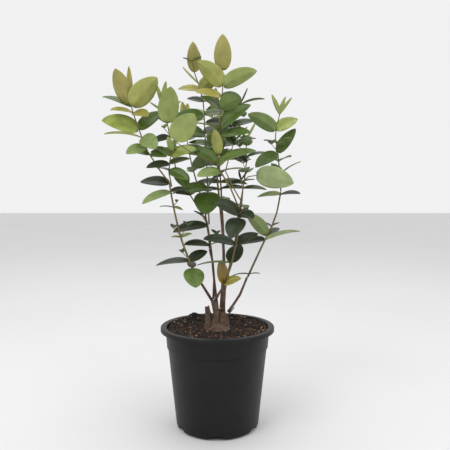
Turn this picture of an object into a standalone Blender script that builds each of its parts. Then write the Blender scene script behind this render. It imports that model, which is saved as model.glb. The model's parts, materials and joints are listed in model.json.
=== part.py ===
"""Potted tutsan: a young flowering shrub of thin stems and opposite leaf pairs, in its black nursery pot.

Lengths in the tables are millimetres, angles are degrees. Azimuth 0 points along +X, 90 along +Y.
The origin is the middle of the pot's flat underside, +Z is up.
"""

import math
import random
from dataclasses import dataclass, field, replace

import bmesh
import bpy
from mathutils import Vector
from mathutils.bvhtree import BVHTree

MM = 0.001

# Pot
POT_HEIGHT = 150.0
BASE_RADIUS = 62.0
BASE_FILLET = 5.0
WALL_TOP_RADIUS = 73.9
COLLAR_HEIGHT = 31.0
COLLAR_LOW_RADIUS = 75.6
COLLAR_TOP_RADIUS = 77.4
LIP_RADIUS = 85.0
LIP_DEPTH = 6.0
LIP_ROUND = 1.8
WALL_THICK = 1.4
FLOOR_THICK = 2.0
POT_SIDES = 40
NOTCH_COUNT = 6
NOTCH_WIDE = 22.0
NOTCH_HIGH = 6.5
NOTCH_DEEP = 9.0

# Soil
SOIL_LEVEL = 145.0
SOIL_TILT = 3.0
SOIL_ROUGH = 1.3
SOIL_FLAT_RADIUS = 25.0
SOIL_RINGS = (SOIL_FLAT_RADIUS, 36.0, 48.0, 58.0, 67.0)
# Mounds of loose bark: x, y, height, spread
MOUNDS = ((-38, 58, 9.0, 11.0), (-62, 30, 5.0, 12.0), (30, 60, 4.5, 14.0), (62, 22, 5.0, 13.0), (55, -38, 2.5, 12.0))

# Gaps between separate pieces, and around leaves of other pieces
CLEARANCE = 0.35
LEAF_AIR = 0.8

# Leaf form, as shares of its length
LEAF_WIDE = 0.50
LEAF_THICK = 0.028
LEAF_ROOT_WIDE = 1.7
LEAF_ROOT_THICK = 0.9
LEAF_SECTIONS = (0.20, 0.60)
TINY_LEAF = 20.0
TINY_SECTIONS = (0.42,)
LEAF_BASE_ROUND = 0.50
LEAF_TIP_ROUND = 0.72
OWN_STEM_SHARE = 0.22
# How far from the stem's axis a leaf's root is sunk, as a share of the stem's radius
ROOT_SHARE = 0.15

# Small side shoots in the leaf axils
TWIG_THICK = 1.3
TWIG_LENGTH = (7.0, 20.0)
TWIG_LEAF = (9.0, 17.0)
TWIG_RISE = 48.0
REACH = 75.0

STEM_SIDES = 8
SPRIG_SIDES = 5
TWIG_SIDES = 3
MOUND_SIDES = 16
NOTCH_SIDES = 6
FOOT_SIDES = 12
FOOT_STEP = 0.1
FOOT_SLIDE = 80
MERGE = 1e-7
ROUTE_STEP = 20.0
SEED = 11
# A mass whose solid isn't sound is joined again, with its leaves shifted by up to this much
SHIFT = 0.05
TRIES = 24
LEAF_POINTS = 13
SOUND = 2e-6
DIAGONAL_ROUNDS = 6

# Changes of azimuth and pitch that a leaf tries before it is left out
NUDGES = ((0, 0), (10, 0), (-10, 0), (0, 9), (0, -9), (18, 6), (-18, 6), (18, -8), (-18, -8), (0, 18), (0, -18),
          (28, 0), (-28, 0), (30, 16), (-30, 16), (30, -16), (-30, -16), (42, 0), (-42, 0))

# Woody crown: its mound, then the stumps on it, by the routes above the soil and the thickness of foot and tip
MOUND_PROFILE = ((21.0, -4.0), (20.0, 0.0), (15.0, 3.0), (9.0, 8.0), (4.0, 11.0))
STUMPS = (
    (((-15, -8, -4), (-14, -7, 15), (-16, -4, 34)), (10.0, 5.6)),
    (((-5, -6, -4), (-1, -3, 22), (-6, -2, 43)), (12.0, 8.4)),
    (((8, -5, -4), (8, -2, 12), (8, 0, 25)), (14.0, 9.0)),
    (((15, 2, -4), (13, 2, 12), (11, 2, 21)), (10.0, 7.2)),
    (((1, 10, -4), (2, 12, 15), (3, 14, 27)), (13.0, 9.5)),
    (((12, 3, 15), (18, 0, 23), (25, -2, 32)), (2.6, 1.6)),
    (((-6, -4, 17), (-11, -9, 27), (-13, -11, 37)), (2.6, 1.6)),
)


@dataclass
class Limb:
    """A bare tapering stem: its route, and its thickness at the foot and the tip."""

    route: tuple
    thick: tuple


@dataclass
class Leaf:
    """A leaf by its chord: length, azimuth and pitch, its turn about the midrib, and its form."""

    length: float
    azimuth: float
    pitch: float
    roll: float = 0.0
    wide: float = LEAF_WIDE
    bend: float = 26.0
    fold: float = 12.0
    tint: str = ""
    root: Vector = None


@dataclass
class Sprig:
    """A leafy stem. It springs from a limb or from another sprig, and its leaf pairs sit at given heights."""

    piece: str
    parent: str
    route: tuple
    thick: tuple
    pairs: tuple
    tint: str = "green"
    axils: float = 0.5
    placed: list = field(default_factory=list)


def young(length, azimuth, pitch, roll=0.0, wide=0.40, bend=-16.0, fold=30.0, tint=""):
    """A young leaf near a tip: narrower, folded along the midrib and curving inward."""
    return Leaf(length, azimuth, pitch, roll, wide, bend, fold, tint)


LIMBS = {
    "stem_left": Limb(((-8, -3, 188), (-20, -6, 208), (-35, -10, 232)), (4.4, 3.4)),
    "stem_mid_left": Limb(((-6, 2, 192), (-5, 7, 217), (-7, 9, 243), (-12, 10, 264)), (3.7, 3.0)),
    "stem_centre": Limb(((8, 0, 170), (9, 2, 205), (10, 4, 240), (7, 6, 300), (2, 10, 344)), (5.2, 3.3)),
    "stem_mid_right": Limb(((-3, -6, 189), (2, -8, 199), (8, -10, 209)), (3.9, 3.3)),
    "stem_right": Limb(((13, 2, 166), (23, 4, 179), (34, 8, 195), (45, 12, 221)), (4.3, 3.3)),
    "stem_back_left": Limb(((0, 15, 173), (-5, 26, 210), (-11, 44, 262), (-20, 58, 312)), (4.0, 3.0)),
    "stem_back": Limb(((5, 16, 174), (8, 32, 222), (9, 54, 280), (6, 72, 330)), (4.2, 3.0)),
    "stem_back_right": Limb(((10, 13, 168), (11, 20, 200), (19, 30, 236), (28, 42, 276), (32, 54, 308)), (4.0, 3.0)),
}

SPRIGS = {
    "left": Sprig(
        "foliage_left", "stem_left",
        ((-36, -10, 236), (-51, -18, 277), (-61, -25, 320), (-68, -32, 363)), (3.3, 2.4),
        (
            (238, Leaf(35, 285, -47, 0, 0.88, 20, 4, "lower"), Leaf(28, 100, 12)),
            (248, Leaf(52, 172, -8, -18, 0.42), Leaf(34, 36, 23, 32, 0.56)),
            (284, Leaf(14, 185, 2, -20, tint="pale"), Leaf(17, 8, 18, 30, tint="pale")),
            (328, Leaf(20, 178, 4, 0, 0.32), Leaf(14, 12, -18, 30, 0.55, tint="pale")),
            (350, Leaf(46, 206, -22, -26, 0.46, tint="pale"), Leaf(30, 30, 10, 20)),
            (361, Leaf(46, 163, 4, -42, 0.46), Leaf(36, 340, 6, 25)),
        ), "dark", 0.25),
    "left_arm": Sprig(
        "foliage_left_arm", "left",
        ((-69, -32, 364), (-82, -35, 382), (-97, -38, 406), (-108, -40, 434), (-117, -40, 460), (-121, -40, 475)),
        (2.2, 1.6),
        (
            (402, Leaf(30, 185, 10, -35, 0.5, tint="lower"), Leaf(26, 345, -8, 40, 0.55, tint="lower")),
            (412, Leaf(34, 222, -18, -45, 0.55, tint="pale"), Leaf(26, 60, 25)),
            (426, Leaf(56, 172, 6, 5, 0.30), Leaf(36, 318, -30, 48, 0.68, tint="pale")),
            (436, Leaf(53, 200, 12, -60, 0.56, tint="lime"), Leaf(46, 32, 38, 42, 0.50, tint="mid")),
            (460, Leaf(34, 215, 2, -30, tint="olive"), Leaf(34, 318, -14, 35, 0.55, tint="bronze")),
            (468, Leaf(46, 170, 20, -25, 0.42, tint="mid"), Leaf(57, 332, 40, -45, 0.58, 10, 14, "olive")),
            (471, young(53, 228, 42, 45, 0.54, tint="bronze"), young(42, 60, 54, 20, tint="olive")),
            (475, young(48, 255, 58, -10, 0.34, tint="bronze"), young(52, 110, 82, 0, 0.20, tint="olive")),
        ), "olive", 0.2),
    "left_inner": Sprig(
        "foliage_left_inner", "left",
        ((-66, -32, 365), (-68, -36, 378), (-66, -39, 394), (-63, -41, 408)), (2.0, 1.5),
        (
            (380, Leaf(34, 335, -24, 45, 0.55, tint="mid"), Leaf(26, 140, 10)),
            (389, Leaf(34, 200, -10, -42, 0.46, tint="dark"), Leaf(34, 40, 15, 25)),
            (400, Leaf(38, 350, 14, 48, 0.55, tint="lime"), Leaf(28, 165, 20, -35, tint="lower")),
            (407, young(28, 262, 40, tint="lime"), young(26, 80, 52, tint="lime")),
        ), "mid", 0.2),
    "mid_left": Sprig(
        "foliage_mid_left", "stem_mid_left",
        ((-12, 10, 266), (-13, 10, 288), (-16, 10, 306)), (2.9, 2.5),
        (
            (270, Leaf(42, 208, 3, -28, 0.46), Leaf(36, 20, 9, -12, 0.40, tint="pale")),
            (300, Leaf(55, 202, -10, -28, 0.46), Leaf(28, 14, 9, 0, 0.34)),
        ), "dark", 0.3),
    "inner_left": Sprig(
        "foliage_inner_left", "mid_left",
        ((-18, 9, 309), (-26, 6, 322), (-45, -8, 354), (-60, -22, 386), (-66, -32, 425), (-72, -36, 456),
         (-77, -36, 474)), (2.2, 1.4),
        (
            (345, Leaf(26, 70, 20), Leaf(30, 230, 5, -30, tint="dark")),
            (378, Leaf(36, 300, -40, 20, 0.6, tint="mid"), Leaf(36, 120, 10)),
            (404, Leaf(40, 15, 10, 45, 0.52, tint="mid"), Leaf(32, 195, 4, -40, 0.5, tint="lower")),
            (428, Leaf(28, 215, -20, -40, 0.5, tint="dark"), Leaf(46, 38, 16, 30, 0.52, tint="mid")),
            (446, Leaf(55, 285, 56, 0, 0.54, 12, 6, "lime"), Leaf(48, 110, 22, 0, tint="mid")),
            (462, young(26, 165, 34, 0, 0.34), young(28, 345, 30, 20)),
            (473, young(36, 66, 72, 0, 0.28), young(30, 240, 54, 0, 0.26)),
        ), "lime", 0.25),
    "bronze": Sprig(
        "foliage_bronze", "mid_left",
        ((-13, 12, 309), (-14, 14, 330), (-16, 20, 382), (-19, 24, 436), (-22, 24, 489), (-28, 22, 510),
         (-35, 20, 530)), (2.3, 1.6),
        (
            (350, Leaf(50, 268, -50, 0, 0.78, 22, 6, "mid"), Leaf(42, 100, 5)),
            (357, Leaf(50, 205, -20, -42, 0.46, tint="lower"), Leaf(43, 346, 18, 42, 0.54, tint="dark")),
            (390, Leaf(50, 250, 6, 50, 0.58, tint="green"), Leaf(48, 70, 6, 20)),
            (408, Leaf(46, 170, 8, -48, 0.52, tint="mid"), Leaf(44, 355, 0, 40)),
            (438, Leaf(52, 222, -4, -48, 0.56, tint="mid"), Leaf(46, 50, 12, 30)),
            (466, Leaf(52, 196, -14, -52, 0.54, tint="mid"), Leaf(42, 20, 8, 35, tint="mid")),
            (486, Leaf(30, 152, 14, -35, tint="dark"), Leaf(36, 325, 6, 40, tint="mid")),
            (503, Leaf(36, 165, 6, -42, 0.50, tint="olive"), Leaf(38, 318, 24, -45, 0.58, tint="olive")),
            (514, young(36, 160, 46, 0, 0.36, -16, 16, "olive"), None),
            (529, young(44, 262, 76, 0, 0.46, -20, 8, "bronze"), young(42, 82, 74, 0, 0.46, -20, 8, "bronze")),
        ), "green", 0.25),
    "centre": Sprig(
        "foliage_centre", "stem_centre",
        ((2, 10, 348), (-1, 16, 382), (5, 18, 406), (23, 15, 453), (34, 10, 476), (36, 8, 484)), (3.0, 1.6),
        (
            (372, Leaf(44, 95, 4), Leaf(34, 275, -4)),
            (400, Leaf(46, 160, 10, -35, 0.5), Leaf(46, 345, 0, 35, 0.5)),
            (425, Leaf(48, 75, 12), Leaf(48, 245, 8, 50, 0.58, tint="mid")),
            (448, Leaf(40, 185, 8, -45, 0.55, tint="dark"), Leaf(38, 10, 14, 35)),
            (466, Leaf(36, 120, 20), Leaf(38, 285, -14, 10, 0.5, tint="mid")),
            (480, Leaf(38, 12, 14, -8, 0.34), Leaf(38, 218, 16, 55, 0.52)),
            (484, young(22, 20, 66, 0, 0.24, tint="dark"), None),
        ), "green", 0.25),
    "mid_right": Sprig(
        "foliage_mid_right", "stem_mid_right",
        ((9, -10, 212), (17, -14, 233), (21, -16, 245), (27, -20, 274), (31, -23, 294), (33, -26, 321)), (3.2, 2.5),
        (
            (214, Leaf(36, 125, 58, 20, 0.84, 10, 6, "yellowed"), Leaf(28, 345, 20, 42, 0.60, tint="olive")),
            (246, Leaf(54, 168, -5, 0, 0.30, tint="lower"), Leaf(37, 62, 44, 5, 0.72)),
            (274, Leaf(52, 204, 10, -32, 0.48), Leaf(42, 30, 20, 28, 0.46)),
            (312, Leaf(44, 248, -38, -10, 0.66), Leaf(30, 62, 30)),
            (319, Leaf(42, 203, 20, -52, 0.64), Leaf(30, 310, -12, 32, 0.64)),
        ), "dark", 0.25),
    "mid_right_top": Sprig(
        "foliage_mid_right_top", "mid_right",
        ((34, -25, 325), (36, -24, 338), (37, -22, 353), (34, -20, 368)), (2.0, 1.6),
        (
            (364, Leaf(26, 160, -8, -35, 0.48), Leaf(22, 330, 10)),
            (367, young(18, 110, 58, 0, 0.22), young(20, 30, 50, 0, 0.22)),
        ), "dark", 0.4),
    "pale_arm": Sprig(
        "foliage_mid_right_top", "mid_right_top",
        ((36, -21, 364), (45, -16, 372), (56, -8, 374), (61, -6, 374)), (1.6, 1.3),
        (
            (374, Leaf(57, 352, -12, -70, 0.60, 20, 4, "pale"), None),
        ), "dark", 0.0),
    "crown": Sprig(
        "foliage_crown", "mid_right",
        ((32, -27, 324), (18, -32, 358), (4, -30, 380), (0, -28, 391), (3, -22, 410), (3, -14, 440), (6, -8, 475),
         (8, -5, 502), (8, -4, 526)), (2.4, 1.6),
        (
            (379, Leaf(40, 18, 6, 0, 0.36, tint="lower"), Leaf(36, 203, -12, -45, 0.55, tint="pale")),
            (392, Leaf(58, 354, 16, 34, 0.44, tint="lower"), Leaf(48, 168, 26, -45, 0.50, tint="mid")),
            (403, Leaf(40, 256, 58, 0, 0.42, 10, 14, "olive"), Leaf(42, 76, 16)),
            (430, Leaf(48, 338, 4, 40, 0.52, tint="mid"), Leaf(46, 150, 10, -20)),
            (441, Leaf(44, 204, 8, -10, 0.36, tint="lime"), Leaf(57, 2, 36, 48, 0.54, tint="mid")),
            (470, Leaf(44, 305, 12, -45, 0.58, tint="mid"), Leaf(42, 140, 32, -25, tint="mid")),
            (488, Leaf(40, 200, 6, -45, 0.52, tint="olive"), Leaf(36, 350, 6, 35, tint="mid")),
            (503, Leaf(55, 358, 24, -50, 0.50, tint="lime"), Leaf(52, 208, 38, 50, 0.54, tint="olive")),
            (526, young(51, 270, 80, 0, 0.50, -22, 6, "bronze"), young(50, 90, 80, 0, 0.48, -22, 6, "bronze")),
        ), "mid", 0.15),
    "cross": Sprig(
        "foliage_crown", "crown",
        ((0, -28, 390), (-14, -38, 394), (-38, -52, 406), (-59, -60, 420)), (1.5, 1.2),
        (
            (419, Leaf(53, 314, 38, -40, 0.62, 10, 4, "lime"), Leaf(28, 150, 8, -20, tint="lime")),
        ), "lime", 0.0),
    "middle": Sprig(
        "foliage_middle", "mid_right_top",
        ((35, -24, 336), (22, -22, 358), (12, -16, 380), (19, -10, 407), (24, -8, 420), (28, -9, 427)), (1.9, 1.3),
        (
            (404, Leaf(38, 295, -12, 20, 0.5, tint="dark"), Leaf(32, 110, 5)),
            (419, Leaf(36, 14, 16, 20, 0.44, tint="mid"), Leaf(36, 145, 44, -25)),
            (426, young(26, 325, 42, 0, 0.26), young(24, 170, 44, 0, 0.3)),
        ), "green", 0.25),
    "right": Sprig(
        "foliage_right", "stem_right",
        ((47, 12, 224), (56, 15, 243), (72, 18, 277), (82, 19, 296), (90, 20, 318), (96, 20, 350)), (3.2, 2.3),
        (
            (226, Leaf(27, 160, -8, 0, 0.28), Leaf(17, 340, 6, 0, 0.3)),
            (277, Leaf(56, 344, 15, -18, 0.40, tint="pale"), Leaf(46, 158, -12, -28, 0.46)),
            (283, Leaf(50, 208, 44, 50, 0.42, tint="lower"), Leaf(32, 45, 20, 15)),
            (346, Leaf(38, 155, -6, -25, 0.50, tint="pale"), Leaf(34, 325, 2, 22, 0.5)),
        ), "dark", 0.25),
    "right_top": Sprig(
        "foliage_right_top", "right",
        ((96, 20, 353), (94, 18, 380), (91, 17, 408), (87, 15, 432), (88, 13, 446), (93, 12, 466)), (2.0, 1.4),
        (
            (376, Leaf(32, 240, 30, -10, 0.55, tint="mid"), Leaf(42, 22, 30, 0, 0.16)),
            (396, Leaf(32, 300, 10, 20, tint="mid"), Leaf(30, 120, 10)),
            (408, Leaf(48, 214, -28, -42, 0.46, tint="mid"), Leaf(49, 22, 52, 38, 0.44, 12, 10, "mid")),
            (424, Leaf(26, 325, 14, 15, 0.45), Leaf(24, 140, 12)),
            (441, Leaf(51, 198, 27, 50, 0.48, tint="mid"), Leaf(44, 26, 28, 42, 0.54, tint="lime")),
            (465, young(33, 222, 58, 0, 0.34, tint="lime"), young(31, 40, 66, 0, 0.34, tint="lime")),
            (466, young(30, 300, 66, 0, 0.34, tint="lime"), young(31, 130, 70, 0, 0.32, tint="lime")),
        ), "mid", 0.1),
    "back_left": Sprig(
        "foliage_back_left", "stem_back_left",
        ((-20, 59, 315), (-30, 68, 352), (-42, 76, 392), (-50, 80, 432), (-54, 82, 460)), (2.8, 1.5),
        (
            (326, Leaf(42, 100, -12, 15), Leaf(28, 280, -6)),
            (352, Leaf(44, 185, -6, -20, 0.5), Leaf(38, 10, 2, 20)),
            (384, Leaf(50, 95, 0, -15, 0.5), Leaf(46, 275, 6, 15)),
            (412, Leaf(48, 170, 10, -25, 0.5), Leaf(44, 350, 8, 30, tint="mid")),
            (434, Leaf(44, 80, 14, 10, tint="mid"), Leaf(40, 255, 16, -20, tint="mid")),
            (450, Leaf(38, 170, 28, -20, tint="lime"), Leaf(36, 350, 30, 25, tint="lime")),
            (459, young(40, 75, 68, tint="olive"), young(38, 255, 70, tint="olive")),
        ), "green", 0.14),
    "back": Sprig(
        "foliage_back", "stem_back",
        ((6, 73, 333), (4, 84, 370), (0, 92, 412), (-4, 95, 452), (-6, 94, 482)), (2.8, 1.5),
        (
            (342, Leaf(44, 80, -14, 10), Leaf(32, 262, -8)),
            (366, Leaf(44, 0, -4, 25), Leaf(44, 178, -4, -25)),
            (396, Leaf(52, 90, -2, -15, 0.5), Leaf(44, 272, 4, 15)),
            (424, Leaf(46, 5, 8, 30, 0.5), Leaf(48, 185, 8, -30, 0.5, tint="mid")),
            (448, Leaf(48, 95, 14, 15, tint="mid"), Leaf(42, 275, 14, -15, tint="mid")),
            (468, Leaf(40, 10, 26, 25, tint="lime"), Leaf(40, 190, 26, -25, tint="lime")),
            (481, young(42, 100, 68, tint="bronze"), young(40, 280, 70, tint="bronze")),
        ), "green", 0.14),
    "back_right": Sprig(
        "foliage_back_right", "stem_back_right",
        ((32, 55, 311), (38, 62, 344), (44, 68, 380), (46, 70, 412), (45, 70, 434)), (2.6, 1.5),
        (
            (330, Leaf(42, 75, -12, 10), Leaf(26, 258, -4)),
            (356, Leaf(38, 350, -4, 20), Leaf(40, 168, -2, -20)),
            (382, Leaf(48, 80, 2, -15, 0.5), Leaf(38, 262, 4, 15)),
            (406, Leaf(34, 0, 12, 20), Leaf(44, 180, 10, -30, 0.5, tint="mid")),
            (424, Leaf(40, 85, 22, 10, tint="mid"), Leaf(36, 265, 22, tint="mid")),
            (433, young(34, 0, 62, tint="lime"), young(34, 180, 64, tint="lime")),
        ), "green", 0.14),
}

# Colours: base colour and roughness of each piece's own material
TINTS = {
    "olive": ((0.33, 0.30, 0.07), 0.5),
    "lime": ((0.26, 0.33, 0.07), 0.5),
    "mid": ((0.12, 0.20, 0.03), 0.5),
    "green": ((0.06, 0.12, 0.02), 0.5),
    "dark": ((0.025, 0.05, 0.012), 0.45),
}
BARK = ((0.07, 0.03, 0.02), 0.7)
PLASTIC = ((0.02, 0.02, 0.021), 0.45)
EARTH = ((0.018, 0.012, 0.008), 0.95)


def clear_scene():
    """Remove every object the file opens with."""
    for thing in list(bpy.data.objects):
        bpy.data.objects.remove(thing)


def material(name, colour, roughness):
    """A plain Principled material."""
    made = bpy.data.materials.new(name)
    made.use_nodes = True
    shader = made.node_tree.nodes["Principled BSDF"]
    shader.inputs["Base Color"].default_value = (*colour, 1.0)
    shader.inputs["Roughness"].default_value = roughness
    shader.inputs["Metallic"].default_value = 0.0
    made.diffuse_color = (*colour, 1.0)
    return made


def new_object(name, mesh, finish=None):
    """Put a mesh in the scene as a named object with its own material."""
    made = bpy.data.objects.new(name, mesh)
    bpy.context.scene.collection.objects.link(made)
    if finish:
        mesh.materials.append(material(name, *finish))
    return made


def mesh_from(name, points, faces):
    """A mesh of points in metres."""
    mesh = bpy.data.meshes.new(name)
    mesh.from_pydata([tuple(p) for p in points], [], faces)
    mesh.update()
    return mesh


def heading(azimuth, pitch):
    """The unit vector at an azimuth and a pitch in degrees."""
    a = math.radians(azimuth)
    p = math.radians(pitch)
    return Vector((math.cos(p) * math.cos(a), math.cos(p) * math.sin(a), math.sin(p)))


class Path:
    """A smooth curve through a route, in metres, with a thickness that tapers along it."""

    def __init__(self, route, thick):
        knots = [Vector(p) * MM for p in route]
        self.points = self.smooth(knots)
        self.along = [0.0]
        for a, b in zip(self.points, self.points[1:]):
            self.along.append(self.along[-1] + (b - a).length)
        self.radii = [
            0.5 * MM * (thick[0] + (thick[1] - thick[0]) * s / self.along[-1]) for s in self.along
        ]

    @staticmethod
    def smooth(knots):
        """Points about ROUTE_STEP apart on the Catmull-Rom curve through the knots."""
        first = knots[0] * 2 - knots[1]
        last = knots[-1] * 2 - knots[-2]
        ring = [first, *knots, last]
        points = [knots[0]]
        for k in range(1, len(ring) - 2):
            p0, p1, p2, p3 = ring[k - 1 : k + 3]
            steps = max(1, round((p2 - p1).length / (ROUTE_STEP * MM)))
            for i in range(1, steps + 1):
                t = i / steps
                points.append(
                    0.5 * (2 * p1 + (p2 - p0) * t + (2 * p0 - 5 * p1 + 4 * p2 - p3) * t**2
                           + (3 * p1 - p0 - 3 * p2 + p3) * t**3)
                )
        return points

    def at_height(self, z):
        """The point, direction and radius where the path passes a height in millimetres."""
        level = z * MM
        for i, (a, b) in enumerate(zip(self.points, self.points[1:])):
            if min(a.z, b.z) <= level <= max(a.z, b.z) and abs(b.z - a.z) > 1e-9:
                t = (level - a.z) / (b.z - a.z)
                return a.lerp(b, t), (b - a).normalized(), self.radii[i]
        end = 0 if level < self.points[0].z else -1
        towards = self.points[1] - self.points[0] if end == 0 else self.points[-1] - self.points[-2]
        return self.points[end], towards.normalized(), self.radii[end]

    def tube(self, sides):
        """Points and faces of a closed tube along the path."""
        points = []
        aside = Vector((1, 0, 0))
        for i, centre in enumerate(self.points):
            before = self.points[max(i - 1, 0)]
            after = self.points[min(i + 1, len(self.points) - 1)]
            ahead = (after - before).normalized()
            aside = (aside - ahead * aside.dot(ahead)).normalized()
            across = ahead.cross(aside)
            for k in range(sides):
                turn = 2 * math.pi * k / sides
                points.append(centre + (aside * math.cos(turn) + across * math.sin(turn)) * self.radii[i])
        faces = [tuple(range(sides - 1, -1, -1))]
        for i in range(len(self.points) - 1):
            low = i * sides
            for k in range(sides):
                m = (k + 1) % sides
                faces.append((low + k, low + m, low + sides + m, low + sides + k))
        faces.append(tuple(range(len(points) - sides, len(points))))
        return points, faces


def leaf_shape(s):
    """Half the leaf's width along it, from 0 at the root to 1 at the widest place."""
    peak = LEAF_BASE_ROUND / (LEAF_BASE_ROUND + LEAF_TIP_ROUND)
    top = peak**LEAF_BASE_ROUND * (1 - peak) ** LEAF_TIP_ROUND
    return s**LEAF_BASE_ROUND * (1 - s) ** LEAF_TIP_ROUND / top


def leaf_frame(leaf, s):
    """The midrib's point at share s of the leaf's length, with the sideways and upward directions there."""
    bend = math.radians(leaf.bend) or 1e-6
    start = math.radians(leaf.pitch) + bend / 2
    here = start - bend * s
    out = (math.sin(start) - math.sin(here)) / bend
    up = (math.cos(here) - math.cos(start)) / bend
    a = math.radians(leaf.azimuth)
    flat = Vector((math.cos(a), math.sin(a), 0))
    point = leaf.root + (flat * out + Vector((0, 0, up))) * leaf.length * MM
    level_side = Vector((-math.sin(a), math.cos(a), 0))
    level_up = -math.sin(here) * flat + Vector((0, 0, math.cos(here)))
    r = math.radians(leaf.roll)
    side = level_side * math.cos(r) + level_up * math.sin(r)
    upward = level_up * math.cos(r) - level_side * math.sin(r)
    return point, side, upward


def sections_of(leaf):
    """The shares of a leaf's length where its blade has a section: fewer on a tiny leaf."""
    return TINY_SECTIONS if leaf.length < TINY_LEAF else LEAF_SECTIONS


def leaf_solid(leaf, start=0.0, air=0.0):
    """Points and faces of one leaf: a blade folded along its thicker midrib.

    It can start part of the way along, and air makes it larger all round, in millimetres."""
    fold = math.radians(leaf.fold)
    sections = [start] + [s for s in sections_of(leaf) if s > start]
    points = []
    for s in sections:
        middle, side, upward = leaf_frame(leaf, s)
        half_wide = max(leaf.length * leaf.wide / 2 * leaf_shape(s), LEAF_ROOT_WIDE / 2) + air
        half_thick = max(leaf.length * LEAF_THICK, LEAF_ROOT_THICK) / 2 + air
        edge = side * math.cos(fold) * half_wide * MM
        lift = upward * math.sin(fold) * half_wide * MM
        points += [
            middle - edge + lift,
            middle - upward * half_thick * MM,
            middle + edge + lift,
            middle + upward * half_thick * MM,
        ]
    tip = leaf_frame(leaf, 1.0)[0]
    points.append(tip)
    faces = [(3, 2, 1, 0)]
    for i in range(len(sections) - 1):
        low = 4 * i
        for k in range(4):
            m = (k + 1) % 4
            faces.append((low + k, low + m, low + 4 + m, low + 4 + k))
    last = 4 * (len(sections) - 1)
    for k in range(4):
        faces.append((last + k, last + (k + 1) % 4, len(points) - 1))
    return points, faces


class Crowd:
    """Every stem and leaf placed so far, to keep new leaves clear of them."""

    def __init__(self):
        self.members = []

    @staticmethod
    def hull(points, faces):
        """The search tree of a shape, with a ball around it."""
        centre = sum(points, Vector()) / len(points)
        radius = max((p - centre).length for p in points)
        return BVHTree.FromPolygons(points, faces), centre, radius

    def add(self, owner, points, faces):
        self.members.append((owner, *self.hull(points, faces)))

    def free(self, shape, owners=None, others_than=None):
        """Whether a shape touches none of the members that belong to owners, or to others than one."""
        tree, centre, radius = self.hull(*shape)
        for owner, member, middle, reach in self.members:
            if owners is not None and owner not in owners:
                continue
            if others_than is not None and owner == others_than:
                continue
            if (middle - centre).length < radius + reach and tree.overlap(member):
                return False
        return True


def fits(leaf, piece, crowd):
    """Whether a leaf keeps clear of every other piece, and its outer part of its own."""
    tip = leaf_frame(leaf, 1.0)[0]
    if (tip - leaf.root).length > REACH * MM or tip.z < (POT_HEIGHT + 12) * MM:
        return False
    outer = leaf_solid(leaf, OWN_STEM_SHARE, LEAF_AIR)
    whole = leaf_solid(leaf, 0.0, LEAF_AIR)
    return crowd.free(whole, others_than=piece) and crowd.free(outer, owners=(piece,))


def place(leaf, node, ahead, radius, sprig, crowd):
    """Seat a leaf in its stem, turned a little if it would touch something, or leave it out."""
    for turn, tilt in NUDGES:
        tried = replace(leaf, azimuth=leaf.azimuth + turn, pitch=leaf.pitch + tilt, tint=leaf.tint or sprig.tint)
        out = heading(tried.azimuth, 0)
        tried.root = node + (out - ahead * out.dot(ahead)) * radius * ROOT_SHARE
        if fits(tried, sprig.piece, crowd):
            sprig.placed.append(tried)
            crowd.add(sprig.piece, *leaf_solid(tried))
            return tried
    return None


def axil_twigs(sprig, path, crowd, dice):
    """Short side shoots above some of a sprig's leaves, each ending in a pair of small leaves."""
    twigs = []
    for height, *leaves in sprig.pairs:
        for leaf in leaves:
            chance, turn, size = dice.random(), dice.uniform(-25, 25), dice.random()
            if leaf is None or chance > sprig.axils:
                continue
            node, _, _ = path.at_height(height + 2)
            azimuth = leaf.azimuth + turn
            ahead = heading(azimuth, TWIG_RISE)
            length = TWIG_LENGTH[0] + (TWIG_LENGTH[1] - TWIG_LENGTH[0]) * size
            route = [node / MM + ahead * length * share for share in (0, 0.4, 1)]
            outer = Path(route[1:], (TWIG_THICK + 2 * LEAF_AIR,) * 2).tube(TWIG_SIDES)
            if not crowd.free(outer):
                continue
            twig = Path(route, (TWIG_THICK, TWIG_THICK * 0.8)).tube(TWIG_SIDES)
            twigs.append(twig)
            crowd.add(sprig.piece, *twig)
            leaf_length = TWIG_LEAF[0] + (TWIG_LEAF[1] - TWIG_LEAF[0]) * size
            seat = route[-1] * MM - ahead * TWIG_THICK / 2 * MM
            for side in (90, 270):
                small = Leaf(leaf_length, azimuth + side, 24, 0, 0.45, 10, 18)
                place(small, seat, ahead, TWIG_THICK / 2 * MM, sprig, crowd)
    return twigs


def near(path, others):
    """The least distance from the rim of a path's foot to other shapes."""
    points, _ = path.tube(FOOT_SIDES)
    rim = points[:FOOT_SIDES] + [path.points[0]]
    return min((tree.find_nearest(p)[3] for tree in others for p in rim), default=1.0)


def seated(route, thick, neighbours):
    """The route with its foot slid along its own direction until it is just clear of its neighbours."""
    route = [Vector(p) for p in route]
    ahead = (route[1] - route[0]).normalized()
    trees = [BVHTree.FromPolygons(*shape) for shape in neighbours]
    for step in range(-FOOT_SLIDE, FOOT_SLIDE):
        moved = [route[0] + ahead * step * FOOT_STEP, *route[1:]]
        path = Path(moved, thick)
        clear = all(not BVHTree.FromPolygons(*path.tube(FOOT_SIDES)).overlap(tree) for tree in trees)
        if clear and near(path, trees) >= CLEARANCE * MM:
            return path
    raise ValueError("a stem finds no seat")


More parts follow.
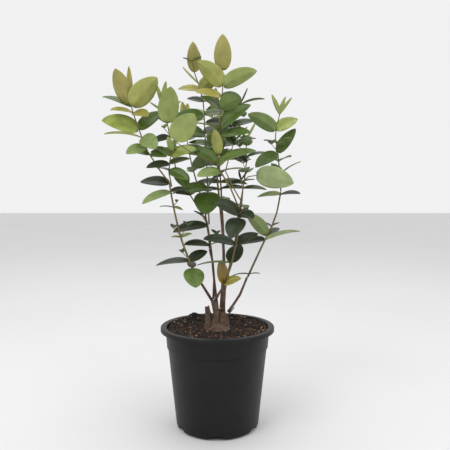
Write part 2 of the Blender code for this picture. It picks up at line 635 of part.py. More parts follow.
def keep_main_solid(mesh):
    """Leave only the largest connected body of a mesh, in triangles: no scraps and no sealed hollows."""
    body = bmesh.new()
    body.from_mesh(mesh)
    bmesh.ops.remove_doubles(body, verts=body.verts[:], dist=SOUND)
    left = set(body.verts)
    islands = []
    while left:
        queue = [left.pop()]
        island = list(queue)
        while queue:
            for edge in queue.pop().link_edges:
                for vert in edge.verts:
                    if vert in left:
                        left.remove(vert)
                        queue.append(vert)
                        island.append(vert)
        islands.append(island)
    islands.sort(key=len, reverse=True)
    for island in islands[1:]:
        bmesh.ops.delete(body, geom=island, context="VERTS")
    bmesh.ops.triangulate(body, faces=body.faces[:])
    body.verts.index_update()
    points = [v.co.copy() for v in body.verts]
    faces = [tuple(v.index for v in f.verts) for f in body.faces]
    body.free()
    mesh.clear_geometry()
    mesh.from_pydata(points, [], turned_diagonals(points, faces))
    mesh.update()


def turned_diagonals(points, faces):
    """Triangles in which two flat faces that took the same line as their diagonal no longer share it."""

    def normal(face):
        a, b, c = (points[i] for i in face)
        return (b - a).cross(c - a)

    for _ in range(DIAGONAL_ROUNDS):
        beside = {}
        for k, face in enumerate(faces):
            for i in range(3):
                beside.setdefault((face[i], face[(i + 1) % 3]), []).append(k)
        turned_now = set()
        for (a, b), fore in beside.items():
            back = beside.get((b, a), [])
            if len(fore) < 2 or turned_now & set(fore + back):
                continue
            for one, two in ((i, j) for i in fore for j in back):
                c = next(i for i in faces[one] if i not in (a, b))
                d = next(i for i in faces[two] if i not in (a, b))
                flat = normal(faces[one]).normalized()
                new = ((a, d, c), (d, b, c))
                even = normal(faces[two]).normalized().dot(flat) > 0.999
                if even and (c, d) not in beside and (d, c) not in beside and all(
                        normal(f).length > 1e-12 and normal(f).dot(flat) > 0 for f in new):
                    faces[one], faces[two] = new
                    turned_now |= {one, two}
                    break
        if not turned_now:
            break
    return faces


def combined(base, operation, tools, solver="EXACT"):
    """Join tool shapes to a base object, or cut them from it, by one Boolean that is then applied."""
    group = bpy.data.collections.new(base.name + "_tools")
    bpy.context.scene.collection.children.link(group)
    for points, faces in tools:
        mesh = mesh_from(group.name, points, faces)
        group.objects.link(bpy.data.objects.new(group.name, mesh))
    boolean = base.modifiers.new(operation.title(), "BOOLEAN")
    boolean.operation = operation
    boolean.operand_type = "COLLECTION"
    boolean.collection = group
    boolean.solver = solver
    graph = bpy.context.evaluated_depsgraph_get()
    result = bpy.data.meshes.new_from_object(base.evaluated_get(graph))
    base.modifiers.clear()
    base.data = result
    for tool in list(group.objects):
        bpy.data.objects.remove(tool)
    bpy.data.collections.remove(group)
    keep_main_solid(result)


def turned(profile, sides):
    """Points and faces of a closed profile of (radius, height) turned about the vertical axis."""
    outline = bmesh.new()
    verts = [outline.verts.new((r * MM, 0, z * MM)) for r, z in profile]
    edges = [outline.edges.new(pair) for pair in zip(verts, verts[1:])]
    bmesh.ops.spin(outline, geom=verts + edges, cent=(0, 0, 0), axis=(0, 0, 1), angle=2 * math.pi,
                   steps=sides, use_merge=True, use_duplicate=False)
    bmesh.ops.remove_doubles(outline, verts=outline.verts[:], dist=MERGE)
    bmesh.ops.recalc_face_normals(outline, faces=outline.faces[:])
    points = [v.co.copy() for v in outline.verts]
    faces = [tuple(v.index for v in f.verts) for f in outline.faces]
    outline.free()
    return points, faces


def arc(centre_r, centre_z, radius, start, end, steps):
    """Points of an arc in the (radius, height) plane."""
    turns = [math.radians(start + (end - start) * i / steps) for i in range(steps + 1)]
    return [(centre_r + radius * math.cos(t), centre_z + radius * math.sin(t)) for t in turns]


def inner_radius(z):
    """The pot's inner radius at a height, in millimetres."""
    step = POT_HEIGHT - COLLAR_HEIGHT
    if z < step:
        return BASE_RADIUS + (WALL_TOP_RADIUS - BASE_RADIUS) * z / step - WALL_THICK
    rise = (z - step) / (COLLAR_HEIGHT - LIP_DEPTH)
    return COLLAR_LOW_RADIUS + (COLLAR_TOP_RADIUS - COLLAR_LOW_RADIUS) * min(rise, 1) - WALL_THICK


def make_pot():
    """The pot: floor, tapered wall, stepped collar and a flange with a turned-down skirt, with drain notches."""
    step = POT_HEIGHT - COLLAR_HEIGHT
    under_lip = POT_HEIGHT - WALL_THICK
    skirt = LIP_RADIUS - WALL_THICK
    outer = [(0, 0), *arc(BASE_RADIUS - BASE_FILLET, BASE_FILLET, BASE_FILLET, -90, 0, 3)]
    outer += [(WALL_TOP_RADIUS, step - 1.0), (COLLAR_LOW_RADIUS, step + 0.6)]
    outer += [(COLLAR_TOP_RADIUS, POT_HEIGHT - LIP_DEPTH), (COLLAR_TOP_RADIUS, under_lip), (skirt, under_lip)]
    outer += [(skirt, POT_HEIGHT - LIP_DEPTH), (LIP_RADIUS, POT_HEIGHT - LIP_DEPTH)]
    outer += arc(LIP_RADIUS - LIP_ROUND, POT_HEIGHT - LIP_ROUND, LIP_ROUND, 0, 90, 3)
    inner = [(COLLAR_TOP_RADIUS, POT_HEIGHT), (inner_radius(POT_HEIGHT), POT_HEIGHT - 1.0)]
    inner += [(inner_radius(step + 0.7), step + 0.7), (inner_radius(step - 1.0), step - 1.0)]
    inner += [(inner_radius(2 * BASE_FILLET), 2 * BASE_FILLET), (BASE_RADIUS - BASE_FILLET, FLOOR_THICK)]
    inner += [(0, FLOOR_THICK)]
    pot = new_object("pot", mesh_from("pot", *turned(outer + inner, POT_SIDES)), PLASTIC)
    notches = []
    for k in range(NOTCH_COUNT):
        turn = -math.pi / 2 + 2 * math.pi * k / NOTCH_COUNT
        out = Vector((math.cos(turn), math.sin(turn), 0))
        along = Vector((-out.y, out.x, 0))
        arch = [(-NOTCH_WIDE / 2, -1.0)]
        arch += [(NOTCH_WIDE / 2 * math.cos(a), NOTCH_HIGH * math.sin(a)) for a in
                 (math.pi * (1 - i / NOTCH_SIDES) for i in range(NOTCH_SIDES + 1))]
        arch += [(NOTCH_WIDE / 2, -1.0)]
        near_end = [(out * (BASE_RADIUS - NOTCH_DEEP) + along * x + Vector((0, 0, z))) * MM for x, z in arch]
        far_end = [p + out * 2 * NOTCH_DEEP * MM for p in near_end]
        n = len(arch)
        faces = [tuple(range(n)), tuple(range(2 * n - 1, n - 1, -1))]
        faces += [(i, n + i, n + (i + 1) % n, (i + 1) % n) for i in range(n)]
        notches.append((near_end + far_end, faces))
    combined(pot, "DIFFERENCE", notches)
    return pot


def soil_height(x, y, dice):
    """The height of the soil's surface in millimetres: flat by the stems, rough and mounded further out."""
    if math.hypot(x, y) <= SOIL_FLAT_RADIUS + 1:
        return SOIL_LEVEL
    mounds = sum(h * math.exp(-((x - mx) ** 2 + (y - my) ** 2) / spread**2) for mx, my, h, spread in MOUNDS)
    tilt = SOIL_TILT * y / COLLAR_TOP_RADIUS
    return SOIL_LEVEL + tilt + mounds + dice.uniform(-SOIL_ROUGH, SOIL_ROUGH)


def make_soil():
    """The soil that fills the pot, just clear of its wall and floor, with a rough top."""
    dice = random.Random(SEED)
    low = FLOOR_THICK + CLEARANCE
    levels = (low, 2 * BASE_FILLET, POT_HEIGHT - COLLAR_HEIGHT - 1.5, POT_HEIGHT - COLLAR_HEIGHT + 1.5)
    points = [Vector((0, 0, low * MM)), Vector((0, 0, SOIL_LEVEL * MM))]
    rings = []

    def ring(radius, height):
        start = len(points)
        for k in range(POT_SIDES):
            turn = 2 * math.pi * k / POT_SIDES
            x, y = radius * math.cos(turn), radius * math.sin(turn)
            z = soil_height(x, y, dice) if height is None else height
            points.append(Vector((x, y, z)) * MM)
        rings.append(start)

    ring(BASE_RADIUS - BASE_FILLET - 1.0, low)
    for level in levels[1:]:
        ring(min(inner_radius(level), inner_radius(levels[2]) if level < levels[3] else 999) - CLEARANCE, level)
    ring(inner_radius(SOIL_LEVEL) - CLEARANCE - 0.6, None)
    for radius in reversed(SOIL_RINGS):
        ring(radius, None)
    faces = []
    for a, b in zip(rings, rings[1:]):
        for k in range(POT_SIDES):
            m = (k + 1) % POT_SIDES
            faces.append((a + k, a + m, b + m, b + k))
    for k in range(POT_SIDES):
        m = (k + 1) % POT_SIDES
        faces.append((0, rings[0] + m, rings[0] + k))
        faces.append((1, rings[-1] + k, rings[-1] + m))
    return new_object("soil", mesh_from("soil", points, faces), EARTH)


def make_root_crown():
    """The woody crown: a mound with cut and living stumps, on a flat cut at the soil."""
    ground = SOIL_LEVEL + CLEARANCE
    profile = [(0, MOUND_PROFILE[0][1]), *MOUND_PROFILE, (0, MOUND_PROFILE[-1][1] + 1.0)]
    mound = mesh_from("root_crown", *turned([(r, ground + z) for r, z in profile], MOUND_SIDES))
    crown = new_object("root_crown", mound, BARK)
    lift = Vector((0, 0, ground))
    stumps = [Path([Vector(p) + lift for p in route], thick).tube(STEM_SIDES) for route, thick in STUMPS]
    combined(crown, "UNION", stumps)
    reach = 3 * MOUND_PROFILE[0][0] * MM
    slab = [Vector((sx * reach, sy * reach, z * MM)) for z in (ground - 20, ground)
            for sx, sy in ((-1, -1), (1, -1), (1, 1), (-1, 1))]
    faces = [(3, 2, 1, 0), (4, 5, 6, 7), (0, 1, 5, 4), (1, 2, 6, 5), (2, 3, 7, 6), (3, 0, 4, 7)]
    combined(crown, "DIFFERENCE", [(slab, faces)])
    return crown


def shape_of(thing):
    """Points and faces of an object that stands at the origin."""
    return [v.co.copy() for v in thing.data.vertices], [tuple(f.vertices) for f in thing.data.polygons]


def faults(mesh):
    """Where more or fewer than two faces meet at an edge, once points that nearly meet are joined."""
    body = bmesh.new()
    body.from_mesh(mesh)
    bmesh.ops.remove_doubles(body, verts=body.verts[:], dist=SOUND)
    found = [e.verts[0].co.copy() for e in body.edges if len(e.link_faces) != 2]
    body.free()
    return found


def make_mass(piece, parts, finish, dice):
    """One mass of foliage: its stems, twigs and leaves joined into one sound solid.

    Where that fails twice, the leaf nearest to the fault is left out."""
    mass = new_object(piece, mesh_from(piece, *parts[0]), finish)
    first = mass.data
    kept = parts[1:]
    for attempt in range(TRIES):
        mass.data = first
        moved = []
        for points, faces in kept:
            shift = Vector([dice.uniform(-SHIFT, SHIFT) for _ in range(3)]) * MM
            moved.append(([p + shift for p in points], faces))
        combined(mass, "UNION", moved)
        found = faults(mass.data)
        if not found:
            return
        if attempt % 2:
            leaves = [part for part in kept if len(part[0]) <= LEAF_POINTS]
            worst = min(leaves, key=lambda part: min((p - found[0]).length for p in part[0]))
            kept = [part for part in kept if part is not worst]
    raise ValueError(piece + " isn't sound")


def make_plant(crown):
    """The bare stems on the woody crown, then the leafy masses on them."""
    crowd = Crowd()
    crowd.add("root_crown", *shape_of(crown))
    paths = {}
    for name, limb in LIMBS.items():
        neighbours = [shape_of(crown)] + [p.tube(STEM_SIDES) for p in paths.values()]
        paths[name] = seated(limb.route, limb.thick, neighbours)
        tube = paths[name].tube(STEM_SIDES)
        new_object(name, mesh_from(name, *tube), BARK)
        crowd.add(name, *tube)
    for name, sprig in SPRIGS.items():
        parent = SPRIGS.get(sprig.parent)
        if parent and parent.piece == sprig.piece:
            paths[name] = Path(sprig.route, sprig.thick)
        else:
            beside = [paths[sprig.parent].tube(STEM_SIDES)]
            beside += [paths[n].tube(SPRIG_SIDES) for n, s in SPRIGS.items()
                       if n in paths and s.parent == sprig.parent and s.piece != sprig.piece]
            paths[name] = seated(sprig.route, sprig.thick, beside)
        crowd.add(sprig.piece, *paths[name].tube(SPRIG_SIDES))
    for name, sprig in SPRIGS.items():
        for height, *leaves in sprig.pairs:
            node, ahead, radius = paths[name].at_height(height)
            for leaf in leaves:
                if leaf is not None:
                    place(leaf, node, ahead, radius, sprig, crowd)
    dice = random.Random(SEED)
    twigs = {name: axil_twigs(sprig, paths[name], crowd, dice) for name, sprig in SPRIGS.items()}
    pieces = {}
    for name, sprig in SPRIGS.items():
        parts = pieces.setdefault(sprig.piece, [])
        parts.append(paths[name].tube(SPRIG_SIDES))
        parts += [leaf_solid(leaf) for leaf in sprig.placed]
        parts += twigs[name]
    for piece, parts in pieces.items():
        tint = next(s.tint for s in SPRIGS.values() if s.piece == piece)
        make_mass(piece, parts, TINTS[tint], dice)


def main():
    """Build the whole part."""
    clear_scene()
    make_pot()
    make_soil()
    make_plant(make_root_crown())


main()
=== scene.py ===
"""The looks of the potted tutsan: fine leaves, barked stems, a moulded pot and bark compost."""

import json
import math
import random
from dataclasses import dataclass, field, replace
from itertools import product

import bmesh
import bpy
from mathutils import Euler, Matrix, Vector
from mathutils.bvhtree import BVHTree

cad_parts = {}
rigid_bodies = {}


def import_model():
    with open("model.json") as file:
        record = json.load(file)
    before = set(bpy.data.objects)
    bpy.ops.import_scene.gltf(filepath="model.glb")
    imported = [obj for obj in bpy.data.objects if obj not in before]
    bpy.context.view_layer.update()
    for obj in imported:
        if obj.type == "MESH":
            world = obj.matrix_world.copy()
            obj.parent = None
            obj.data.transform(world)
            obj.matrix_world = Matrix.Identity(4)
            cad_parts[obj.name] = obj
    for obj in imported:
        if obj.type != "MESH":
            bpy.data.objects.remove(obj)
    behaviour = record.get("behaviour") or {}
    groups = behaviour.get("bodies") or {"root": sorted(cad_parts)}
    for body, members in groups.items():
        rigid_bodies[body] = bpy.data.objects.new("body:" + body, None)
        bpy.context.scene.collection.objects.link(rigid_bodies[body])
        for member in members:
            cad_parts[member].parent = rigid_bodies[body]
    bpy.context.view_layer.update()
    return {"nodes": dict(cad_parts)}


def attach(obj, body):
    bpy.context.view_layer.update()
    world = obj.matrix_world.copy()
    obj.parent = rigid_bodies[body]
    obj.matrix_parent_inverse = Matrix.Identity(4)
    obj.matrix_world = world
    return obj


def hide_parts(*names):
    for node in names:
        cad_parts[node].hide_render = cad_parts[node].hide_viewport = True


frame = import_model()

# Lengths are in millimetres where a comment doesn't name metres, and MM turns them into metres
MM = 0.001

# Pot
POT_HEIGHT = 150.0
BASE_RADIUS = 62.0
BASE_FILLET = 5.0
WALL_TOP_RADIUS = 73.9
COLLAR_HEIGHT = 31.0
COLLAR_LOW_RADIUS = 75.6
COLLAR_TOP_RADIUS = 77.4
LIP_RADIUS = 85.0
LIP_DEPTH = 6.0
LIP_ROUND = 1.8
WALL_THICK = 1.4
FLOOR_THICK = 2.0
POT_SIDES = 144
NOTCH_COUNT = 6
NOTCH_WIDE = 22.0
NOTCH_HIGH = 6.5
NOTCH_DEEP = 9.0
NOTCH_BELOW = 1.0
NOTCH_SIDES = 16
# The collar's step slopes from this far under its height to this far over it, outside and inside
STEP_UNDER = 1.0
STEP_OVER = 0.6
STEP_OVER_INSIDE = 0.7
RIM_CHAMFER = 1.0
ARC_STEPS = 3
# Edges of the pot that turn by more than this many degrees stay sharp
SHARP_TURN = 35

# Gap at a stem's foot, air around a leaf, and the least height of a leaf's tip over the rim
CLEARANCE = 0.35
LEAF_AIR = 0.8
TIP_CLEAR = 12

# Leaf form, as shares of its length
LEAF_WIDE = 0.50
LEAF_THICK = 0.028
# Least width and thickness
LEAF_ROOT_WIDE = 1.7
LEAF_ROOT_THICK = 0.9
# Shares of the length where a blade has its sections: fewer on a leaf shorter than TINY_LEAF
LEAF_SECTIONS = (0.20, 0.60)
TINY_LEAF = 20.0
TINY_SECTIONS = (0.42,)
# Roundness of the outline at its root and its tip
LEAF_BASE_ROUND = 0.50
LEAF_TIP_ROUND = 0.72
# The bend of a flat leaf, in radians
LEAST_BEND = 1e-6
# The furthest that a leaf's tip lies from its root
REACH = 75.0
# The share of a leaf, from its root, that may touch its own piece
OWN_STEM_SHARE = 0.22
# How far from the stem's axis a leaf's root is sunk, as a share of the stem's radius
ROOT_SHARE = 0.15

# Small side shoots in the leaf axils: thickness and taper, and the ranges of their length and their leaves'
TWIG_THICK = 1.3
TWIG_TAPER = 0.8
TWIG_LENGTH = (7.0, 20.0)
TWIG_LEAF = (9.0, 17.0)
# Their rise and their greatest turn from the leaf below, in degrees, and their height over it
TWIG_RISE = 48.0
TWIG_TURN = 25
TWIG_ABOVE = 2
# Shares of a twig's length where its route has points, and the form of its two leaves
TWIG_KNOTS = (0, 0.4, 1)
TWIG_LEAF_PITCH = 24
TWIG_LEAF_WIDE = 0.45
TWIG_LEAF_BEND = 10
TWIG_LEAF_FOLD = 18

# Sides of the plain tubes that leaves keep clear of. Twigs are shown with theirs too
STEM_SIDES = 8
SPRIG_SIDES = 5
TWIG_SIDES = 3
# Sides of the tube that finds the place of a stem's foot, its step, and its most steps either way
FOOT_SIDES = 12
FOOT_STEP = 0.1
FOOT_SLIDE = 80
# Points closer than this merge, and a stretch that climbs less than this is level, in metres
MERGE = 1e-7
LEVEL = 1e-9
# Spacing of the points along a smooth path
ROUTE_STEP = 20.0
SEED = 11

# Changes of azimuth and pitch that a leaf tries before it is left out
NUDGES = (
    (0, 0), (10, 0), (-10, 0), (0, 9), (0, -9), (18, 6), (-18, 6), (18, -8), (-18, -8), (0, 18), (0, -18),
    (28, 0), (-28, 0), (30, 16), (-30, 16), (30, -16), (-30, -16), (42, 0), (-42, 0),
)

# Fine leaves: rows and columns of each skin, where the first row starts and how far the rows reach
LEAF_ROWS = 16
LEAF_COLUMNS = 5
ROWS_START = 0.02
ROWS_REACH = 0.975
# Least half width: POINT at the tip, and NECK more at the root
NECK = 0.45
POINT = 0.1
# Half the blade's thickness, how its fold rises towards the edge, and how its edge curls down
SKIN = 0.16
FOLD_CURVE = 1.15
CURL = 0.05
# Side veins: number, depth, slant, and how fast they start beside the midrib
VEINS = 7
VEIN_DEPTH = 0.22
VEIN_SLANT = 0.22
VEIN_START = 3
# Midrib: groove on the upper side, swelling under it, and how fast both fade with the share of the width
MIDRIB_GROOVE = 0.45
MIDRIB_SWELL = 0.25
MIDRIB_FADE = 4
# Sides of the stems that are shown
STEM_FINE_SIDES = 16

# Leaf colours in screen values: upper side, underside
LEAF_COLOURS = {
    "lower": ((93, 115, 50), (126, 142, 88)),
    "pale": ((122, 140, 78), (152, 166, 114)),
    "dark": ((38, 50, 24), (84, 104, 62)),
    "green": ((54, 76, 26), (104, 124, 72)),
    "mid": ((72, 96, 28), (118, 138, 76)),
    "lime": ((138, 152, 68), (150, 164, 92)),
    "olive": ((158, 152, 70), (160, 162, 88)),
    "bronze": ((142, 138, 60), (152, 146, 78)),
    "yellowed": ((128, 104, 22), (140, 122, 60)),
}
SLOT_OF = {
    "lower": "leaf_green",
    "pale": "leaf_mid",
    "dark": "leaf_dark",
    "green": "leaf_green",
    "mid": "leaf_mid",
    "lime": "leaf_lime",
    "olive": "leaf_olive",
    "bronze": "leaf_olive",
    "yellowed": "leaf_olive",
}
# How much darker and lighter than its colour a leaf's two sides go
TOP_SHADES = (0.8, 1.15)
UNDER_SHADES = (0.85, 1.1)

# Pairs of colours that the other materials wander between, in screen values
BARK = ((74, 52, 40), (104, 84, 66))
GREEN_BARK = ((92, 70, 40), (112, 106, 58))
EARTH = ((14, 10, 7), (38, 31, 26))
PLASTIC = ((10, 10, 10), (15, 15, 16))
# Each kind of crumb: its two colours, and the draw below which it is taken
CRUMBS = {
    "crumbs_dark": ((18, 14, 11), (46, 38, 32), 0.76),
    "crumbs_brown": ((66, 40, 24), (104, 66, 38), 0.95),
    "crumbs_pale": ((120, 96, 74), (150, 126, 100), 1.0),
}

# Materials: detail of the colour, where it starts and stops changing, detail of the relief
COLOUR_DETAIL = 6.0
COLOUR_STOPS = (0.35, 0.65)
RELIEF_DETAIL = 5.0
# Depth of the relief, in metres
RELIEF_DEPTH = 0.0008

# Crumbs of bark: number, radius of the disc they lie in, half sizes, turns in radians, taper and rise
CHIPS = 2600
CHIP_DISC = 72.0
CHIP_HALVES = ((0.7, 2.6), (0.5, 1.4), (0.3, 0.8))
CHIP_TURNS = ((-0.5, 0.5), (-0.5, 0.5), (0, 6.28))
CHIP_TAPER = 0.3
CHIP_RISE = 0.4
# The height that the crumbs drop from, in metres
DROP_FROM = 0.2

# Stage in metres: half the floor's side, its depth under the pot, and its linear colours
FLOOR_HALF = 9
FLOOR_DEPTH = 0.0006
FLOOR_COLOURS = ((0.70, 0.70, 0.70), (0.72, 0.72, 0.72))
WORLD_COLOUR = (0.9, 0.9, 0.91, 1.0)
WORLD_STRENGTH = 0.98
# Lights: place and size in metres, power in watts, and the point they shine at
LIGHTS = {
    "key": ((-0.9, -1.1, 1.7), 1.0, 12.0),
    "fill": ((1.2, -0.9, 1.0), 1.2, 4.0),
    "top": ((0.1, 0.4, 2.0), 1.4, 9.0),
}
LIGHT_AIM = (0, 0, 0.25)
# Camera: its place, and how many degrees it looks down
CAMERA_PLACE = (11.3, -800.0, 347.0)
CAMERA_DOWN = 3.3
CAMERA_LENS = 43.1
SENSOR_WIDE = 36.0


@dataclass
class Limb:
    """A bare tapering stem: its route, and its thickness at the foot and the tip."""

    route: tuple
    thick: tuple


@dataclass
class Leaf:
    """A leaf by its chord: length, azimuth and pitch, its turn about the midrib, and its form."""

    length: float
    azimuth: float
    pitch: float
    roll: float = 0.0
    wide: float = LEAF_WIDE
    bend: float = 26.0
    fold: float = 12.0
    tint: str = ""
    root: Vector = None


@dataclass
class Sprig:
    """A leafy stem. It springs from a limb or from another sprig, and its leaf pairs sit at given heights."""

    piece: str
    parent: str
    route: tuple
    thick: tuple
    pairs: tuple
    tint: str = "green"
    axils: float = 0.5
    placed: list = field(default_factory=list)


def young(length, azimuth, pitch, roll=0.0, wide=0.40, bend=-16.0, fold=30.0, tint=""):
    """A young leaf near a tip: narrower, folded along the midrib and curving inward."""
    return Leaf(length, azimuth, pitch, roll, wide, bend, fold, tint)


LIMBS = {
    "stem_left": Limb(((-8, -3, 188), (-20, -6, 208), (-35, -10, 232)), (4.4, 3.4)),
    "stem_mid_left": Limb(((-6, 2, 192), (-5, 7, 217), (-7, 9, 243), (-12, 10, 264)), (3.7, 3.0)),
    "stem_centre": Limb(((8, 0, 170), (9, 2, 205), (10, 4, 240), (7, 6, 300), (2, 10, 344)), (5.2, 3.3)),
    "stem_mid_right": Limb(((-3, -6, 189), (2, -8, 199), (8, -10, 209)), (3.9, 3.3)),
    "stem_right": Limb(((13, 2, 166), (23, 4, 179), (34, 8, 195), (45, 12, 221)), (4.3, 3.3)),
    "stem_back_left": Limb(((0, 15, 173), (-5, 26, 210), (-11, 44, 262), (-20, 58, 312)), (4.0, 3.0)),
    "stem_back": Limb(((5, 16, 174), (8, 32, 222), (9, 54, 280), (6, 72, 330)), (4.2, 3.0)),
    "stem_back_right": Limb(
        ((10, 13, 168), (11, 20, 200), (19, 30, 236), (28, 42, 276), (32, 54, 308)), (4.0, 3.0)
    ),
}

